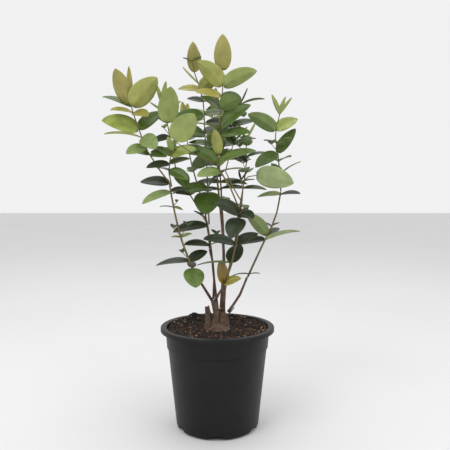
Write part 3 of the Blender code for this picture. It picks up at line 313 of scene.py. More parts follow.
SPRIGS = {
    "left": Sprig(
        "foliage_left", "stem_left",
        ((-36, -10, 236), (-51, -18, 277), (-61, -25, 320), (-68, -32, 363)), (3.3, 2.4),
        (
            (238, Leaf(35, 285, -47, 0, 0.88, 20, 4, "lower"), Leaf(28, 100, 12)),
            (248, Leaf(52, 172, -8, -18, 0.42), Leaf(34, 36, 23, 32, 0.56)),
            (284, Leaf(14, 185, 2, -20, tint="pale"), Leaf(17, 8, 18, 30, tint="pale")),
            (328, Leaf(20, 178, 4, 0, 0.32), Leaf(14, 12, -18, 30, 0.55, tint="pale")),
            (350, Leaf(46, 206, -22, -26, 0.46, tint="pale"), Leaf(30, 30, 10, 20)),
            (361, Leaf(46, 163, 4, -42, 0.46), Leaf(36, 340, 6, 25)),
        ), "dark", 0.25),
    "left_arm": Sprig(
        "foliage_left_arm", "left",
        ((-69, -32, 364), (-82, -35, 382), (-97, -38, 406), (-108, -40, 434), (-117, -40, 460),
         (-121, -40, 475)),
        (2.2, 1.6),
        (
            (402, Leaf(30, 185, 10, -35, 0.5, tint="lower"), Leaf(26, 345, -8, 40, 0.55, tint="lower")),
            (412, Leaf(34, 222, -18, -45, 0.55, tint="pale"), Leaf(26, 60, 25)),
            (426, Leaf(56, 172, 6, 5, 0.30), Leaf(36, 318, -30, 48, 0.68, tint="pale")),
            (436, Leaf(53, 200, 12, -60, 0.56, tint="lime"), Leaf(46, 32, 38, 42, 0.50, tint="mid")),
            (460, Leaf(34, 215, 2, -30, tint="olive"), Leaf(34, 318, -14, 35, 0.55, tint="bronze")),
            (468, Leaf(46, 170, 20, -25, 0.42, tint="mid"), Leaf(57, 332, 40, -45, 0.58, 10, 14, "olive")),
            (471, young(53, 228, 42, 45, 0.54, tint="bronze"), young(42, 60, 54, 20, tint="olive")),
            (475, young(48, 255, 58, -10, 0.34, tint="bronze"), young(52, 110, 82, 0, 0.20, tint="olive")),
        ), "olive", 0.2),
    "left_inner": Sprig(
        "foliage_left_inner", "left",
        ((-66, -32, 365), (-68, -36, 378), (-66, -39, 394), (-63, -41, 408)), (2.0, 1.5),
        (
            (380, Leaf(34, 335, -24, 45, 0.55, tint="mid"), Leaf(26, 140, 10)),
            (389, Leaf(34, 200, -10, -42, 0.46, tint="dark"), Leaf(34, 40, 15, 25)),
            (400, Leaf(38, 350, 14, 48, 0.55, tint="lime"), Leaf(28, 165, 20, -35, tint="lower")),
            (407, young(28, 262, 40, tint="lime"), young(26, 80, 52, tint="lime")),
        ), "mid", 0.2),
    "mid_left": Sprig(
        "foliage_mid_left", "stem_mid_left",
        ((-12, 10, 266), (-13, 10, 288), (-16, 10, 306)), (2.9, 2.5),
        (
            (270, Leaf(42, 208, 3, -28, 0.46), Leaf(36, 20, 9, -12, 0.40, tint="pale")),
            (300, Leaf(55, 202, -10, -28, 0.46), Leaf(28, 14, 9, 0, 0.34)),
        ), "dark", 0.3),
    "inner_left": Sprig(
        "foliage_inner_left", "mid_left",
        ((-18, 9, 309), (-26, 6, 322), (-45, -8, 354), (-60, -22, 386), (-66, -32, 425), (-72, -36, 456),
         (-77, -36, 474)), (2.2, 1.4),
        (
            (345, Leaf(26, 70, 20), Leaf(30, 230, 5, -30, tint="dark")),
            (378, Leaf(36, 300, -40, 20, 0.6, tint="mid"), Leaf(36, 120, 10)),
            (404, Leaf(40, 15, 10, 45, 0.52, tint="mid"), Leaf(32, 195, 4, -40, 0.5, tint="lower")),
            (428, Leaf(28, 215, -20, -40, 0.5, tint="dark"), Leaf(46, 38, 16, 30, 0.52, tint="mid")),
            (446, Leaf(55, 285, 56, 0, 0.54, 12, 6, "lime"), Leaf(48, 110, 22, 0, tint="mid")),
            (462, young(26, 165, 34, 0, 0.34), young(28, 345, 30, 20)),
            (473, young(36, 66, 72, 0, 0.28), young(30, 240, 54, 0, 0.26)),
        ), "lime", 0.25),
    "bronze": Sprig(
        "foliage_bronze", "mid_left",
        ((-13, 12, 309), (-14, 14, 330), (-16, 20, 382), (-19, 24, 436), (-22, 24, 489), (-28, 22, 510),
         (-35, 20, 530)), (2.3, 1.6),
        (
            (350, Leaf(50, 268, -50, 0, 0.78, 22, 6, "mid"), Leaf(42, 100, 5)),
            (357, Leaf(50, 205, -20, -42, 0.46, tint="lower"), Leaf(43, 346, 18, 42, 0.54, tint="dark")),
            (390, Leaf(50, 250, 6, 50, 0.58, tint="green"), Leaf(48, 70, 6, 20)),
            (408, Leaf(46, 170, 8, -48, 0.52, tint="mid"), Leaf(44, 355, 0, 40)),
            (438, Leaf(52, 222, -4, -48, 0.56, tint="mid"), Leaf(46, 50, 12, 30)),
            (466, Leaf(52, 196, -14, -52, 0.54, tint="mid"), Leaf(42, 20, 8, 35, tint="mid")),
            (486, Leaf(30, 152, 14, -35, tint="dark"), Leaf(36, 325, 6, 40, tint="mid")),
            (503, Leaf(36, 165, 6, -42, 0.50, tint="olive"), Leaf(38, 318, 24, -45, 0.58, tint="olive")),
            (514, young(36, 160, 46, 0, 0.36, -16, 16, "olive"), None),
            (529, young(44, 262, 76, 0, 0.46, -20, 8, "bronze"),
             young(42, 82, 74, 0, 0.46, -20, 8, "bronze")),
        ), "green", 0.25),
    "centre": Sprig(
        "foliage_centre", "stem_centre",
        ((2, 10, 348), (-1, 16, 382), (5, 18, 406), (23, 15, 453), (34, 10, 476), (36, 8, 484)), (3.0, 1.6),
        (
            (372, Leaf(44, 95, 4), Leaf(34, 275, -4)),
            (400, Leaf(46, 160, 10, -35, 0.5), Leaf(46, 345, 0, 35, 0.5)),
            (425, Leaf(48, 75, 12), Leaf(48, 245, 8, 50, 0.58, tint="mid")),
            (448, Leaf(40, 185, 8, -45, 0.55, tint="dark"), Leaf(38, 10, 14, 35)),
            (466, Leaf(36, 120, 20), Leaf(38, 285, -14, 10, 0.5, tint="mid")),
            (480, Leaf(38, 12, 14, -8, 0.34), Leaf(38, 218, 16, 55, 0.52)),
            (484, young(22, 20, 66, 0, 0.24, tint="dark"), None),
        ), "green", 0.25),
    "mid_right": Sprig(
        "foliage_mid_right", "stem_mid_right",
        ((9, -10, 212), (17, -14, 233), (21, -16, 245), (27, -20, 274), (31, -23, 294), (33, -26, 321)),
        (3.2, 2.5),
        (
            (214, Leaf(36, 125, 58, 20, 0.84, 10, 6, "yellowed"), Leaf(28, 345, 20, 42, 0.60, tint="olive")),
            (246, Leaf(54, 168, -5, 0, 0.30, tint="lower"), Leaf(37, 62, 44, 5, 0.72)),
            (274, Leaf(52, 204, 10, -32, 0.48), Leaf(42, 30, 20, 28, 0.46)),
            (312, Leaf(44, 248, -38, -10, 0.66), Leaf(30, 62, 30)),
            (319, Leaf(42, 203, 20, -52, 0.64), Leaf(30, 310, -12, 32, 0.64)),
        ), "dark", 0.25),
    "mid_right_top": Sprig(
        "foliage_mid_right_top", "mid_right",
        ((34, -25, 325), (36, -24, 338), (37, -22, 353), (34, -20, 368)), (2.0, 1.6),
        (
            (364, Leaf(26, 160, -8, -35, 0.48), Leaf(22, 330, 10)),
            (367, young(18, 110, 58, 0, 0.22), young(20, 30, 50, 0, 0.22)),
        ), "dark", 0.4),
    "pale_arm": Sprig(
        "foliage_mid_right_top", "mid_right_top",
        ((36, -21, 364), (45, -16, 372), (56, -8, 374), (61, -6, 374)), (1.6, 1.3),
        (
            (374, Leaf(57, 352, -12, -70, 0.60, 20, 4, "pale"), None),
        ), "dark", 0.0),
    "crown": Sprig(
        "foliage_crown", "mid_right",
        ((32, -27, 324), (18, -32, 358), (4, -30, 380), (0, -28, 391), (3, -22, 410), (3, -14, 440),
         (6, -8, 475), (8, -5, 502), (8, -4, 526)), (2.4, 1.6),
        (
            (379, Leaf(40, 18, 6, 0, 0.36, tint="lower"), Leaf(36, 203, -12, -45, 0.55, tint="pale")),
            (392, Leaf(58, 354, 16, 34, 0.44, tint="lower"), Leaf(48, 168, 26, -45, 0.50, tint="mid")),
            (403, Leaf(40, 256, 58, 0, 0.42, 10, 14, "olive"), Leaf(42, 76, 16)),
            (430, Leaf(48, 338, 4, 40, 0.52, tint="mid"), Leaf(46, 150, 10, -20)),
            (441, Leaf(44, 204, 8, -10, 0.36, tint="lime"), Leaf(57, 2, 36, 48, 0.54, tint="mid")),
            (470, Leaf(44, 305, 12, -45, 0.58, tint="mid"), Leaf(42, 140, 32, -25, tint="mid")),
            (488, Leaf(40, 200, 6, -45, 0.52, tint="olive"), Leaf(36, 350, 6, 35, tint="mid")),
            (503, Leaf(55, 358, 24, -50, 0.50, tint="lime"), Leaf(52, 208, 38, 50, 0.54, tint="olive")),
            (526, young(51, 270, 80, 0, 0.50, -22, 6, "bronze"),
             young(50, 90, 80, 0, 0.48, -22, 6, "bronze")),
        ), "mid", 0.15),
    "cross": Sprig(
        "foliage_crown", "crown",
        ((0, -28, 390), (-14, -38, 394), (-38, -52, 406), (-59, -60, 420)), (1.5, 1.2),
        (
            (419, Leaf(53, 314, 38, -40, 0.62, 10, 4, "lime"), Leaf(28, 150, 8, -20, tint="lime")),
        ), "lime", 0.0),
    "middle": Sprig(
        "foliage_middle", "mid_right_top",
        ((35, -24, 336), (22, -22, 358), (12, -16, 380), (19, -10, 407), (24, -8, 420), (28, -9, 427)),
        (1.9, 1.3),
        (
            (404, Leaf(38, 295, -12, 20, 0.5, tint="dark"), Leaf(32, 110, 5)),
            (419, Leaf(36, 14, 16, 20, 0.44, tint="mid"), Leaf(36, 145, 44, -25)),
            (426, young(26, 325, 42, 0, 0.26), young(24, 170, 44, 0, 0.3)),
        ), "green", 0.25),
    "right": Sprig(
        "foliage_right", "stem_right",
        ((47, 12, 224), (56, 15, 243), (72, 18, 277), (82, 19, 296), (90, 20, 318), (96, 20, 350)),
        (3.2, 2.3),
        (
            (226, Leaf(27, 160, -8, 0, 0.28), Leaf(17, 340, 6, 0, 0.3)),
            (277, Leaf(56, 344, 15, -18, 0.40, tint="pale"), Leaf(46, 158, -12, -28, 0.46)),
            (283, Leaf(50, 208, 44, 50, 0.42, tint="lower"), Leaf(32, 45, 20, 15)),
            (346, Leaf(38, 155, -6, -25, 0.50, tint="pale"), Leaf(34, 325, 2, 22, 0.5)),
        ), "dark", 0.25),
    "right_top": Sprig(
        "foliage_right_top", "right",
        ((96, 20, 353), (94, 18, 380), (91, 17, 408), (87, 15, 432), (88, 13, 446), (93, 12, 466)),
        (2.0, 1.4),
        (
            (376, Leaf(32, 240, 30, -10, 0.55, tint="mid"), Leaf(42, 22, 30, 0, 0.16)),
            (396, Leaf(32, 300, 10, 20, tint="mid"), Leaf(30, 120, 10)),
            (408, Leaf(48, 214, -28, -42, 0.46, tint="mid"), Leaf(49, 22, 52, 38, 0.44, 12, 10, "mid")),
            (424, Leaf(26, 325, 14, 15, 0.45), Leaf(24, 140, 12)),
            (441, Leaf(51, 198, 27, 50, 0.48, tint="mid"), Leaf(44, 26, 28, 42, 0.54, tint="lime")),
            (465, young(33, 222, 58, 0, 0.34, tint="lime"), young(31, 40, 66, 0, 0.34, tint="lime")),
            (466, young(30, 300, 66, 0, 0.34, tint="lime"), young(31, 130, 70, 0, 0.32, tint="lime")),
        ), "mid", 0.1),
    "back_left": Sprig(
        "foliage_back_left", "stem_back_left",
        ((-20, 59, 315), (-30, 68, 352), (-42, 76, 392), (-50, 80, 432), (-54, 82, 460)), (2.8, 1.5),
        (
            (326, Leaf(42, 100, -12, 15), Leaf(28, 280, -6)),
            (352, Leaf(44, 185, -6, -20, 0.5), Leaf(38, 10, 2, 20)),
            (384, Leaf(50, 95, 0, -15, 0.5), Leaf(46, 275, 6, 15)),
            (412, Leaf(48, 170, 10, -25, 0.5), Leaf(44, 350, 8, 30, tint="mid")),
            (434, Leaf(44, 80, 14, 10, tint="mid"), Leaf(40, 255, 16, -20, tint="mid")),
            (450, Leaf(38, 170, 28, -20, tint="lime"), Leaf(36, 350, 30, 25, tint="lime")),
            (459, young(40, 75, 68, tint="olive"), young(38, 255, 70, tint="olive")),
        ), "green", 0.14),
    "back": Sprig(
        "foliage_back", "stem_back",
        ((6, 73, 333), (4, 84, 370), (0, 92, 412), (-4, 95, 452), (-6, 94, 482)), (2.8, 1.5),
        (
            (342, Leaf(44, 80, -14, 10), Leaf(32, 262, -8)),
            (366, Leaf(44, 0, -4, 25), Leaf(44, 178, -4, -25)),
            (396, Leaf(52, 90, -2, -15, 0.5), Leaf(44, 272, 4, 15)),
            (424, Leaf(46, 5, 8, 30, 0.5), Leaf(48, 185, 8, -30, 0.5, tint="mid")),
            (448, Leaf(48, 95, 14, 15, tint="mid"), Leaf(42, 275, 14, -15, tint="mid")),
            (468, Leaf(40, 10, 26, 25, tint="lime"), Leaf(40, 190, 26, -25, tint="lime")),
            (481, young(42, 100, 68, tint="bronze"), young(40, 280, 70, tint="bronze")),
        ), "green", 0.14),
    "back_right": Sprig(
        "foliage_back_right", "stem_back_right",
        ((32, 55, 311), (38, 62, 344), (44, 68, 380), (46, 70, 412), (45, 70, 434)), (2.6, 1.5),
        (
            (330, Leaf(42, 75, -12, 10), Leaf(26, 258, -4)),
            (356, Leaf(38, 350, -4, 20), Leaf(40, 168, -2, -20)),
            (382, Leaf(48, 80, 2, -15, 0.5), Leaf(38, 262, 4, 15)),
            (406, Leaf(34, 0, 12, 20), Leaf(44, 180, 10, -30, 0.5, tint="mid")),
            (424, Leaf(40, 85, 22, 10, tint="mid"), Leaf(36, 265, 22, tint="mid")),
            (433, young(34, 0, 62, tint="lime"), young(34, 180, 64, tint="lime")),
        ), "green", 0.14),
}


def mesh_from(name, points, faces):
    """A mesh of points in metres."""
    mesh = bpy.data.meshes.new(name)
    mesh.from_pydata([tuple(p) for p in points], [], faces)
    mesh.update()
    return mesh


def heading(azimuth, pitch):
    """The unit vector at an azimuth and a pitch in degrees."""
    a = math.radians(azimuth)
    p = math.radians(pitch)
    return Vector((math.cos(p) * math.cos(a), math.cos(p) * math.sin(a), math.sin(p)))


class Path:
    """A smooth curve through a route, in metres, with a thickness that tapers along it."""

    def __init__(self, route, thick):
        knots = [Vector(p) * MM for p in route]
        self.points = self.smooth(knots)
        self.along = [0.0]
        for a, b in zip(self.points, self.points[1:]):
            self.along.append(self.along[-1] + (b - a).length)
        self.radii = [
            0.5 * MM * (thick[0] + (thick[1] - thick[0]) * s / self.along[-1]) for s in self.along
        ]

    @staticmethod
    def smooth(knots):
        """Points about ROUTE_STEP apart on the Catmull-Rom curve through the knots."""
        first = knots[0] * 2 - knots[1]
        last = knots[-1] * 2 - knots[-2]
        ring = [first, *knots, last]
        points = [knots[0]]
        for k in range(1, len(ring) - 2):
            p0, p1, p2, p3 = ring[k - 1 : k + 3]
            steps = max(1, round((p2 - p1).length / (ROUTE_STEP * MM)))
            for i in range(1, steps + 1):
                t = i / steps
                points.append(
                    0.5 * (2 * p1 + (p2 - p0) * t + (2 * p0 - 5 * p1 + 4 * p2 - p3) * t**2
                           + (3 * p1 - p0 - 3 * p2 + p3) * t**3)
                )
        return points

    def at_height(self, z):
        """The point, direction and radius where the path passes a height in millimetres."""
        level = z * MM
        for i, (a, b) in enumerate(zip(self.points, self.points[1:])):
            if min(a.z, b.z) <= level <= max(a.z, b.z) and abs(b.z - a.z) > LEVEL:
                t = (level - a.z) / (b.z - a.z)
                return a.lerp(b, t), (b - a).normalized(), self.radii[i]
        end = 0 if level < self.points[0].z else -1
        towards = self.points[1] - self.points[0] if end == 0 else self.points[-1] - self.points[-2]
        return self.points[end], towards.normalized(), self.radii[end]

    def tube(self, sides):
        """Points and faces of a closed tube along the path."""
        points = []
        aside = Vector((1, 0, 0))
        for i, centre in enumerate(self.points):
            before = self.points[max(i - 1, 0)]
            after = self.points[min(i + 1, len(self.points) - 1)]
            ahead = (after - before).normalized()
            aside = (aside - ahead * aside.dot(ahead)).normalized()
            across = ahead.cross(aside)
            for k in range(sides):
                turn = 2 * math.pi * k / sides
                points.append(centre + (aside * math.cos(turn) + across * math.sin(turn)) * self.radii[i])
        faces = [tuple(range(sides - 1, -1, -1))]
        for i in range(len(self.points) - 1):
            low = i * sides
            for k in range(sides):
                m = (k + 1) % sides
                faces.append((low + k, low + m, low + sides + m, low + sides + k))
        faces.append(tuple(range(len(points) - sides, len(points))))
        return points, faces


def leaf_shape(s):
    """Half the leaf's width along it, from 0 at the root to 1 at the widest place."""
    peak = LEAF_BASE_ROUND / (LEAF_BASE_ROUND + LEAF_TIP_ROUND)
    top = peak**LEAF_BASE_ROUND * (1 - peak) ** LEAF_TIP_ROUND
    return s**LEAF_BASE_ROUND * (1 - s) ** LEAF_TIP_ROUND / top


def leaf_frame(leaf, s):
    """The midrib's point at share s of the leaf's length, with the sideways and upward directions there."""
    bend = math.radians(leaf.bend) or LEAST_BEND
    start = math.radians(leaf.pitch) + bend / 2
    here = start - bend * s
    out = (math.sin(start) - math.sin(here)) / bend
    up = (math.cos(here) - math.cos(start)) / bend
    a = math.radians(leaf.azimuth)
    flat = Vector((math.cos(a), math.sin(a), 0))
    point = leaf.root + (flat * out + Vector((0, 0, up))) * leaf.length * MM
    level_side = Vector((-math.sin(a), math.cos(a), 0))
    level_up = -math.sin(here) * flat + Vector((0, 0, math.cos(here)))
    r = math.radians(leaf.roll)
    side = level_side * math.cos(r) + level_up * math.sin(r)
    upward = level_up * math.cos(r) - level_side * math.sin(r)
    return point, side, upward


def sections_of(leaf):
    """The shares of a leaf's length where its blade has a section: fewer on a tiny leaf."""
    return TINY_SECTIONS if leaf.length < TINY_LEAF else LEAF_SECTIONS


def leaf_solid(leaf, start=0.0, air=0.0):
    """Points and faces of one leaf: a blade folded along its thicker midrib.

    It can start part of the way along, and air makes it larger all round, in millimetres."""
    fold = math.radians(leaf.fold)
    sections = [start] + [s for s in sections_of(leaf) if s > start]
    points = []
    for s in sections:
        middle, side, upward = leaf_frame(leaf, s)
        half_wide = max(leaf.length * leaf.wide / 2 * leaf_shape(s), LEAF_ROOT_WIDE / 2) + air
        half_thick = max(leaf.length * LEAF_THICK, LEAF_ROOT_THICK) / 2 + air
        edge = side * math.cos(fold) * half_wide * MM
        lift = upward * math.sin(fold) * half_wide * MM
        points += [
            middle - edge + lift,
            middle - upward * half_thick * MM,
            middle + edge + lift,
            middle + upward * half_thick * MM,
        ]
    tip = leaf_frame(leaf, 1.0)[0]
    points.append(tip)
    faces = [(3, 2, 1, 0)]
    for i in range(len(sections) - 1):
        low = 4 * i
        for k in range(4):
            m = (k + 1) % 4
            faces.append((low + k, low + m, low + 4 + m, low + 4 + k))
    last = 4 * (len(sections) - 1)
    for k in range(4):
        faces.append((last + k, last + (k + 1) % 4, len(points) - 1))
    return points, faces


class Crowd:
    """Every stem and leaf placed so far, to keep new leaves clear of them."""

    def __init__(self):
        self.members = []

    @staticmethod
    def hull(points, faces):
        """The search tree of a shape, with a ball around it."""
        centre = sum(points, Vector()) / len(points)
        radius = max((p - centre).length for p in points)
        return BVHTree.FromPolygons(points, faces), centre, radius

    def add(self, owner, points, faces):
        """Take in a shape that belongs to a piece."""
        self.members.append((owner, *self.hull(points, faces)))

    def free(self, shape, owners=None, others_than=None):
        """Whether a shape touches none of the members that belong to owners, or to others than one."""
        tree, centre, radius = self.hull(*shape)
        for owner, member, middle, reach in self.members:
            if owners is not None and owner not in owners:
                continue
            if others_than is not None and owner == others_than:
                continue
            if (middle - centre).length < radius + reach and tree.overlap(member):
                return False
        return True


def fits(leaf, piece, crowd):
    """Whether a leaf keeps clear of every other piece, and its outer part of its own."""
    tip = leaf_frame(leaf, 1.0)[0]
    if (tip - leaf.root).length > REACH * MM or tip.z < (POT_HEIGHT + TIP_CLEAR) * MM:
        return False
    outer = leaf_solid(leaf, OWN_STEM_SHARE, LEAF_AIR)
    whole = leaf_solid(leaf, 0.0, LEAF_AIR)
    return crowd.free(whole, others_than=piece) and crowd.free(outer, owners=(piece,))


def place(leaf, node, ahead, radius, sprig, crowd):
    """Seat a leaf in its stem, turned a little if it would touch something, or leave it out."""
    for turn, tilt in NUDGES:
        tried = replace(
            leaf, azimuth=leaf.azimuth + turn, pitch=leaf.pitch + tilt, tint=leaf.tint or sprig.tint
        )
        out = heading(tried.azimuth, 0)
        tried.root = node + (out - ahead * out.dot(ahead)) * radius * ROOT_SHARE
        if fits(tried, sprig.piece, crowd):
            sprig.placed.append(tried)
            crowd.add(sprig.piece, *leaf_solid(tried))
            return


def axil_twigs(sprig, path, crowd, dice):
    """Short side shoots above some of a sprig's leaves, each ending in a pair of small leaves."""
    twigs = []
    for height, *leaves in sprig.pairs:
        for leaf in leaves:
            chance = dice.random()
            turn = dice.uniform(-TWIG_TURN, TWIG_TURN)
            size = dice.random()
            if leaf is None or chance > sprig.axils:
                continue
            node, _, _ = path.at_height(height + TWIG_ABOVE)
            azimuth = leaf.azimuth + turn
            ahead = heading(azimuth, TWIG_RISE)
            length = TWIG_LENGTH[0] + (TWIG_LENGTH[1] - TWIG_LENGTH[0]) * size
            route = [node / MM + ahead * length * share for share in TWIG_KNOTS]
            outer = Path(route[1:], (TWIG_THICK + 2 * LEAF_AIR,) * 2).tube(TWIG_SIDES)
            if not crowd.free(outer):
                continue
            twig = Path(route, (TWIG_THICK, TWIG_THICK * TWIG_TAPER)).tube(TWIG_SIDES)
            twigs.append(twig)
            crowd.add(sprig.piece, *twig)
            leaf_length = TWIG_LEAF[0] + (TWIG_LEAF[1] - TWIG_LEAF[0]) * size
            seat = route[-1] * MM - ahead * TWIG_THICK / 2 * MM
            for side in (90, 270):
                small = Leaf(
                    leaf_length, azimuth + side, TWIG_LEAF_PITCH,
                    wide=TWIG_LEAF_WIDE, bend=TWIG_LEAF_BEND, fold=TWIG_LEAF_FOLD,
                )
                place(small, seat, ahead, TWIG_THICK / 2 * MM, sprig, crowd)
    return twigs


def near(path, others):
    """The least distance from the rim of a path's foot to other shapes."""
    points, _ = path.tube(FOOT_SIDES)
    rim = points[:FOOT_SIDES] + [path.points[0]]
    return min(tree.find_nearest(p)[3] for tree in others for p in rim)


def seated(route, thick, neighbours):
    """A path by the route, its foot slid along its own direction until it just clears its neighbours."""
    route = [Vector(p) for p in route]
    ahead = (route[1] - route[0]).normalized()
    trees = [BVHTree.FromPolygons(*shape) for shape in neighbours]
    for step in range(-FOOT_SLIDE, FOOT_SLIDE):
        moved = [route[0] + ahead * step * FOOT_STEP, *route[1:]]
        path = Path(moved, thick)
        clear = all(not BVHTree.FromPolygons(*path.tube(FOOT_SIDES)).overlap(tree) for tree in trees)
        if clear and near(path, trees) >= CLEARANCE * MM:
            return path
    raise ValueError("a stem finds no seat")


def turned(profile, sides):
    """Points and faces of a closed profile of (radius, height) turned about the vertical axis."""
    outline = bmesh.new()
    verts = [outline.verts.new((r * MM, 0, z * MM)) for r, z in profile]
    edges = [outline.edges.new(pair) for pair in zip(verts, verts[1:])]
    bmesh.ops.spin(outline, geom=verts + edges, cent=(0, 0, 0), axis=(0, 0, 1), angle=2 * math.pi,
                   steps=sides, use_merge=True, use_duplicate=False)
    bmesh.ops.remove_doubles(outline, verts=outline.verts[:], dist=MERGE)
    bmesh.ops.recalc_face_normals(outline, faces=outline.faces[:])
    points = [v.co.copy() for v in outline.verts]
    faces = [tuple(v.index for v in f.verts) for f in outline.faces]
    outline.free()
    return points, faces


def arc(centre_r, centre_z, radius, start, end, steps):
    """Points of an arc in the (radius, height) plane."""
    turns = [math.radians(start + (end - start) * i / steps) for i in range(steps + 1)]
    return [(centre_r + radius * math.cos(t), centre_z + radius * math.sin(t)) for t in turns]


def inner_radius(z):
    """The pot's inner radius at a height, in millimetres."""
    step = POT_HEIGHT - COLLAR_HEIGHT
    if z < step:
        return BASE_RADIUS + (WALL_TOP_RADIUS - BASE_RADIUS) * z / step - WALL_THICK
    rise = (z - step) / (COLLAR_HEIGHT - LIP_DEPTH)
    return COLLAR_LOW_RADIUS + (COLLAR_TOP_RADIUS - COLLAR_LOW_RADIUS) * min(rise, 1) - WALL_THICK


def make_pot():
    """The pot: a notched floor, a tapered wall, a stepped collar and a flange with a turned-down skirt."""
    step = POT_HEIGHT - COLLAR_HEIGHT
    under_lip = POT_HEIGHT - WALL_THICK
    skirt = LIP_RADIUS - WALL_THICK
    outer = [(0, 0), *arc(BASE_RADIUS - BASE_FILLET, BASE_FILLET, BASE_FILLET, -90, 0, ARC_STEPS)]
    outer += [(WALL_TOP_RADIUS, step - STEP_UNDER), (COLLAR_LOW_RADIUS, step + STEP_OVER)]
    outer += [(COLLAR_TOP_RADIUS, POT_HEIGHT - LIP_DEPTH), (COLLAR_TOP_RADIUS, under_lip), (skirt, under_lip)]
    outer += [(skirt, POT_HEIGHT - LIP_DEPTH), (LIP_RADIUS, POT_HEIGHT - LIP_DEPTH)]
    outer += arc(LIP_RADIUS - LIP_ROUND, POT_HEIGHT - LIP_ROUND, LIP_ROUND, 0, 90, ARC_STEPS)
    inner = [(COLLAR_TOP_RADIUS, POT_HEIGHT), (inner_radius(POT_HEIGHT), POT_HEIGHT - RIM_CHAMFER)]
    inner += [(inner_radius(z), z) for z in (step + STEP_OVER_INSIDE, step - STEP_UNDER)]
    inner += [(inner_radius(2 * BASE_FILLET), 2 * BASE_FILLET), (BASE_RADIUS - BASE_FILLET, FLOOR_THICK)]
    inner += [(0, FLOOR_THICK)]
    pot = piece_from("pot_fine", *turned(outer + inner, POT_SIDES))
    notches = []
    for k in range(NOTCH_COUNT):
        turn = -math.pi / 2 + 2 * math.pi * k / NOTCH_COUNT
        out = Vector((math.cos(turn), math.sin(turn), 0))
        along = Vector((-out.y, out.x, 0))
        arch = [(-NOTCH_WIDE / 2, -NOTCH_BELOW)]
        arch += [(NOTCH_WIDE / 2 * math.cos(a), NOTCH_HIGH * math.sin(a)) for a in
                 (math.pi * (1 - i / NOTCH_SIDES) for i in range(NOTCH_SIDES + 1))]
        arch += [(NOTCH_WIDE / 2, -NOTCH_BELOW)]
        near_end = [(out * (BASE_RADIUS - NOTCH_DEEP) + along * x + Vector((0, 0, z))) * MM for x, z in arch]
        far_end = [p + out * 2 * NOTCH_DEEP * MM for p in near_end]
        n = len(arch)
        faces = [tuple(range(n)), tuple(range(2 * n - 1, n - 1, -1))]
        faces += [(i, n + i, n + (i + 1) % n, (i + 1) % n) for i in range(n)]
        notches.append((near_end + far_end, faces))
    cut(pot, notches)
    return pot


def linear(rgb):
    """A screen colour as the linear colour that a shader takes."""
    return tuple((c / 255 / 12.92) if c <= 10 else ((c / 255 + 0.055) / 1.055) ** 2.4 for c in rgb)


def shades(colour, shares):
    """A colour made darker or lighter by each share."""
    return [tuple(c * share for c in colour) for share in shares]


def procedural(name, colours, scale, roughness, relief=None, specular=0.5):
    """A material whose colour wanders between two. Its relief, if it has one, is a strength and a scale."""
    made = bpy.data.materials.new(name)
    made.use_nodes = True
    nodes, links = made.node_tree.nodes, made.node_tree.links
    shader = nodes["Principled BSDF"]
    shader.inputs["Roughness"].default_value = roughness
    shader.inputs["Specular IOR Level"].default_value = specular
    where = nodes.new("ShaderNodeTexCoord")
    wander = nodes.new("ShaderNodeTexNoise")
    wander.inputs["Scale"].default_value = scale
    wander.inputs["Detail"].default_value = COLOUR_DETAIL
    ramp = nodes.new("ShaderNodeValToRGB")
    for stop, position, colour in zip(ramp.color_ramp.elements, COLOUR_STOPS, colours):
        stop.position = position
        stop.color = (*colour, 1.0)
    links.new(where.outputs["Object"], wander.inputs["Vector"])
    links.new(wander.outputs["Fac"], ramp.inputs["Fac"])
    links.new(ramp.outputs["Color"], shader.inputs["Base Color"])
    if relief:
        strength, grain = relief
        fine = nodes.new("ShaderNodeTexNoise")
        fine.inputs["Scale"].default_value = grain
        fine.inputs["Detail"].default_value = RELIEF_DETAIL
        bump = nodes.new("ShaderNodeBump")
        bump.inputs["Strength"].default_value = strength
        bump.inputs["Distance"].default_value = RELIEF_DEPTH
        links.new(where.outputs["Object"], fine.inputs["Vector"])
        links.new(fine.outputs["Fac"], bump.inputs["Height"])
        links.new(bump.outputs["Normal"], shader.inputs["Normal"])
    return made


def piece_from(name, points, faces, *materials):
    """A mesh object with its materials."""
    made = bpy.data.objects.new(name, mesh_from(name, points, faces))
    bpy.context.scene.collection.objects.link(made)
    for finish in materials:
        made.data.materials.append(finish)
    return made


def give(thing, finish):
    """Make one material the only one of an object."""
    thing.data.materials.clear()
    thing.data.materials.append(finish)


def cut(base, tools):
    """Cut tool shapes from a base object."""
    group = bpy.data.collections.new(base.name + "_tools")
    bpy.context.scene.collection.children.link(group)
    for points, faces in tools:
        group.objects.link(bpy.data.objects.new(group.name, mesh_from(group.name, points, faces)))
    boolean = base.modifiers.new("Difference", "BOOLEAN")
    boolean.operation = "DIFFERENCE"
    boolean.operand_type = "COLLECTION"
    boolean.collection = group
    boolean.solver = "EXACT"
    graph = bpy.context.evaluated_depsgraph_get()
    base.data = bpy.data.meshes.new_from_object(base.evaluated_get(graph))
    base.modifiers.clear()
    for tool in list(group.objects):
        bpy.data.objects.remove(tool)
    bpy.data.collections.remove(group)


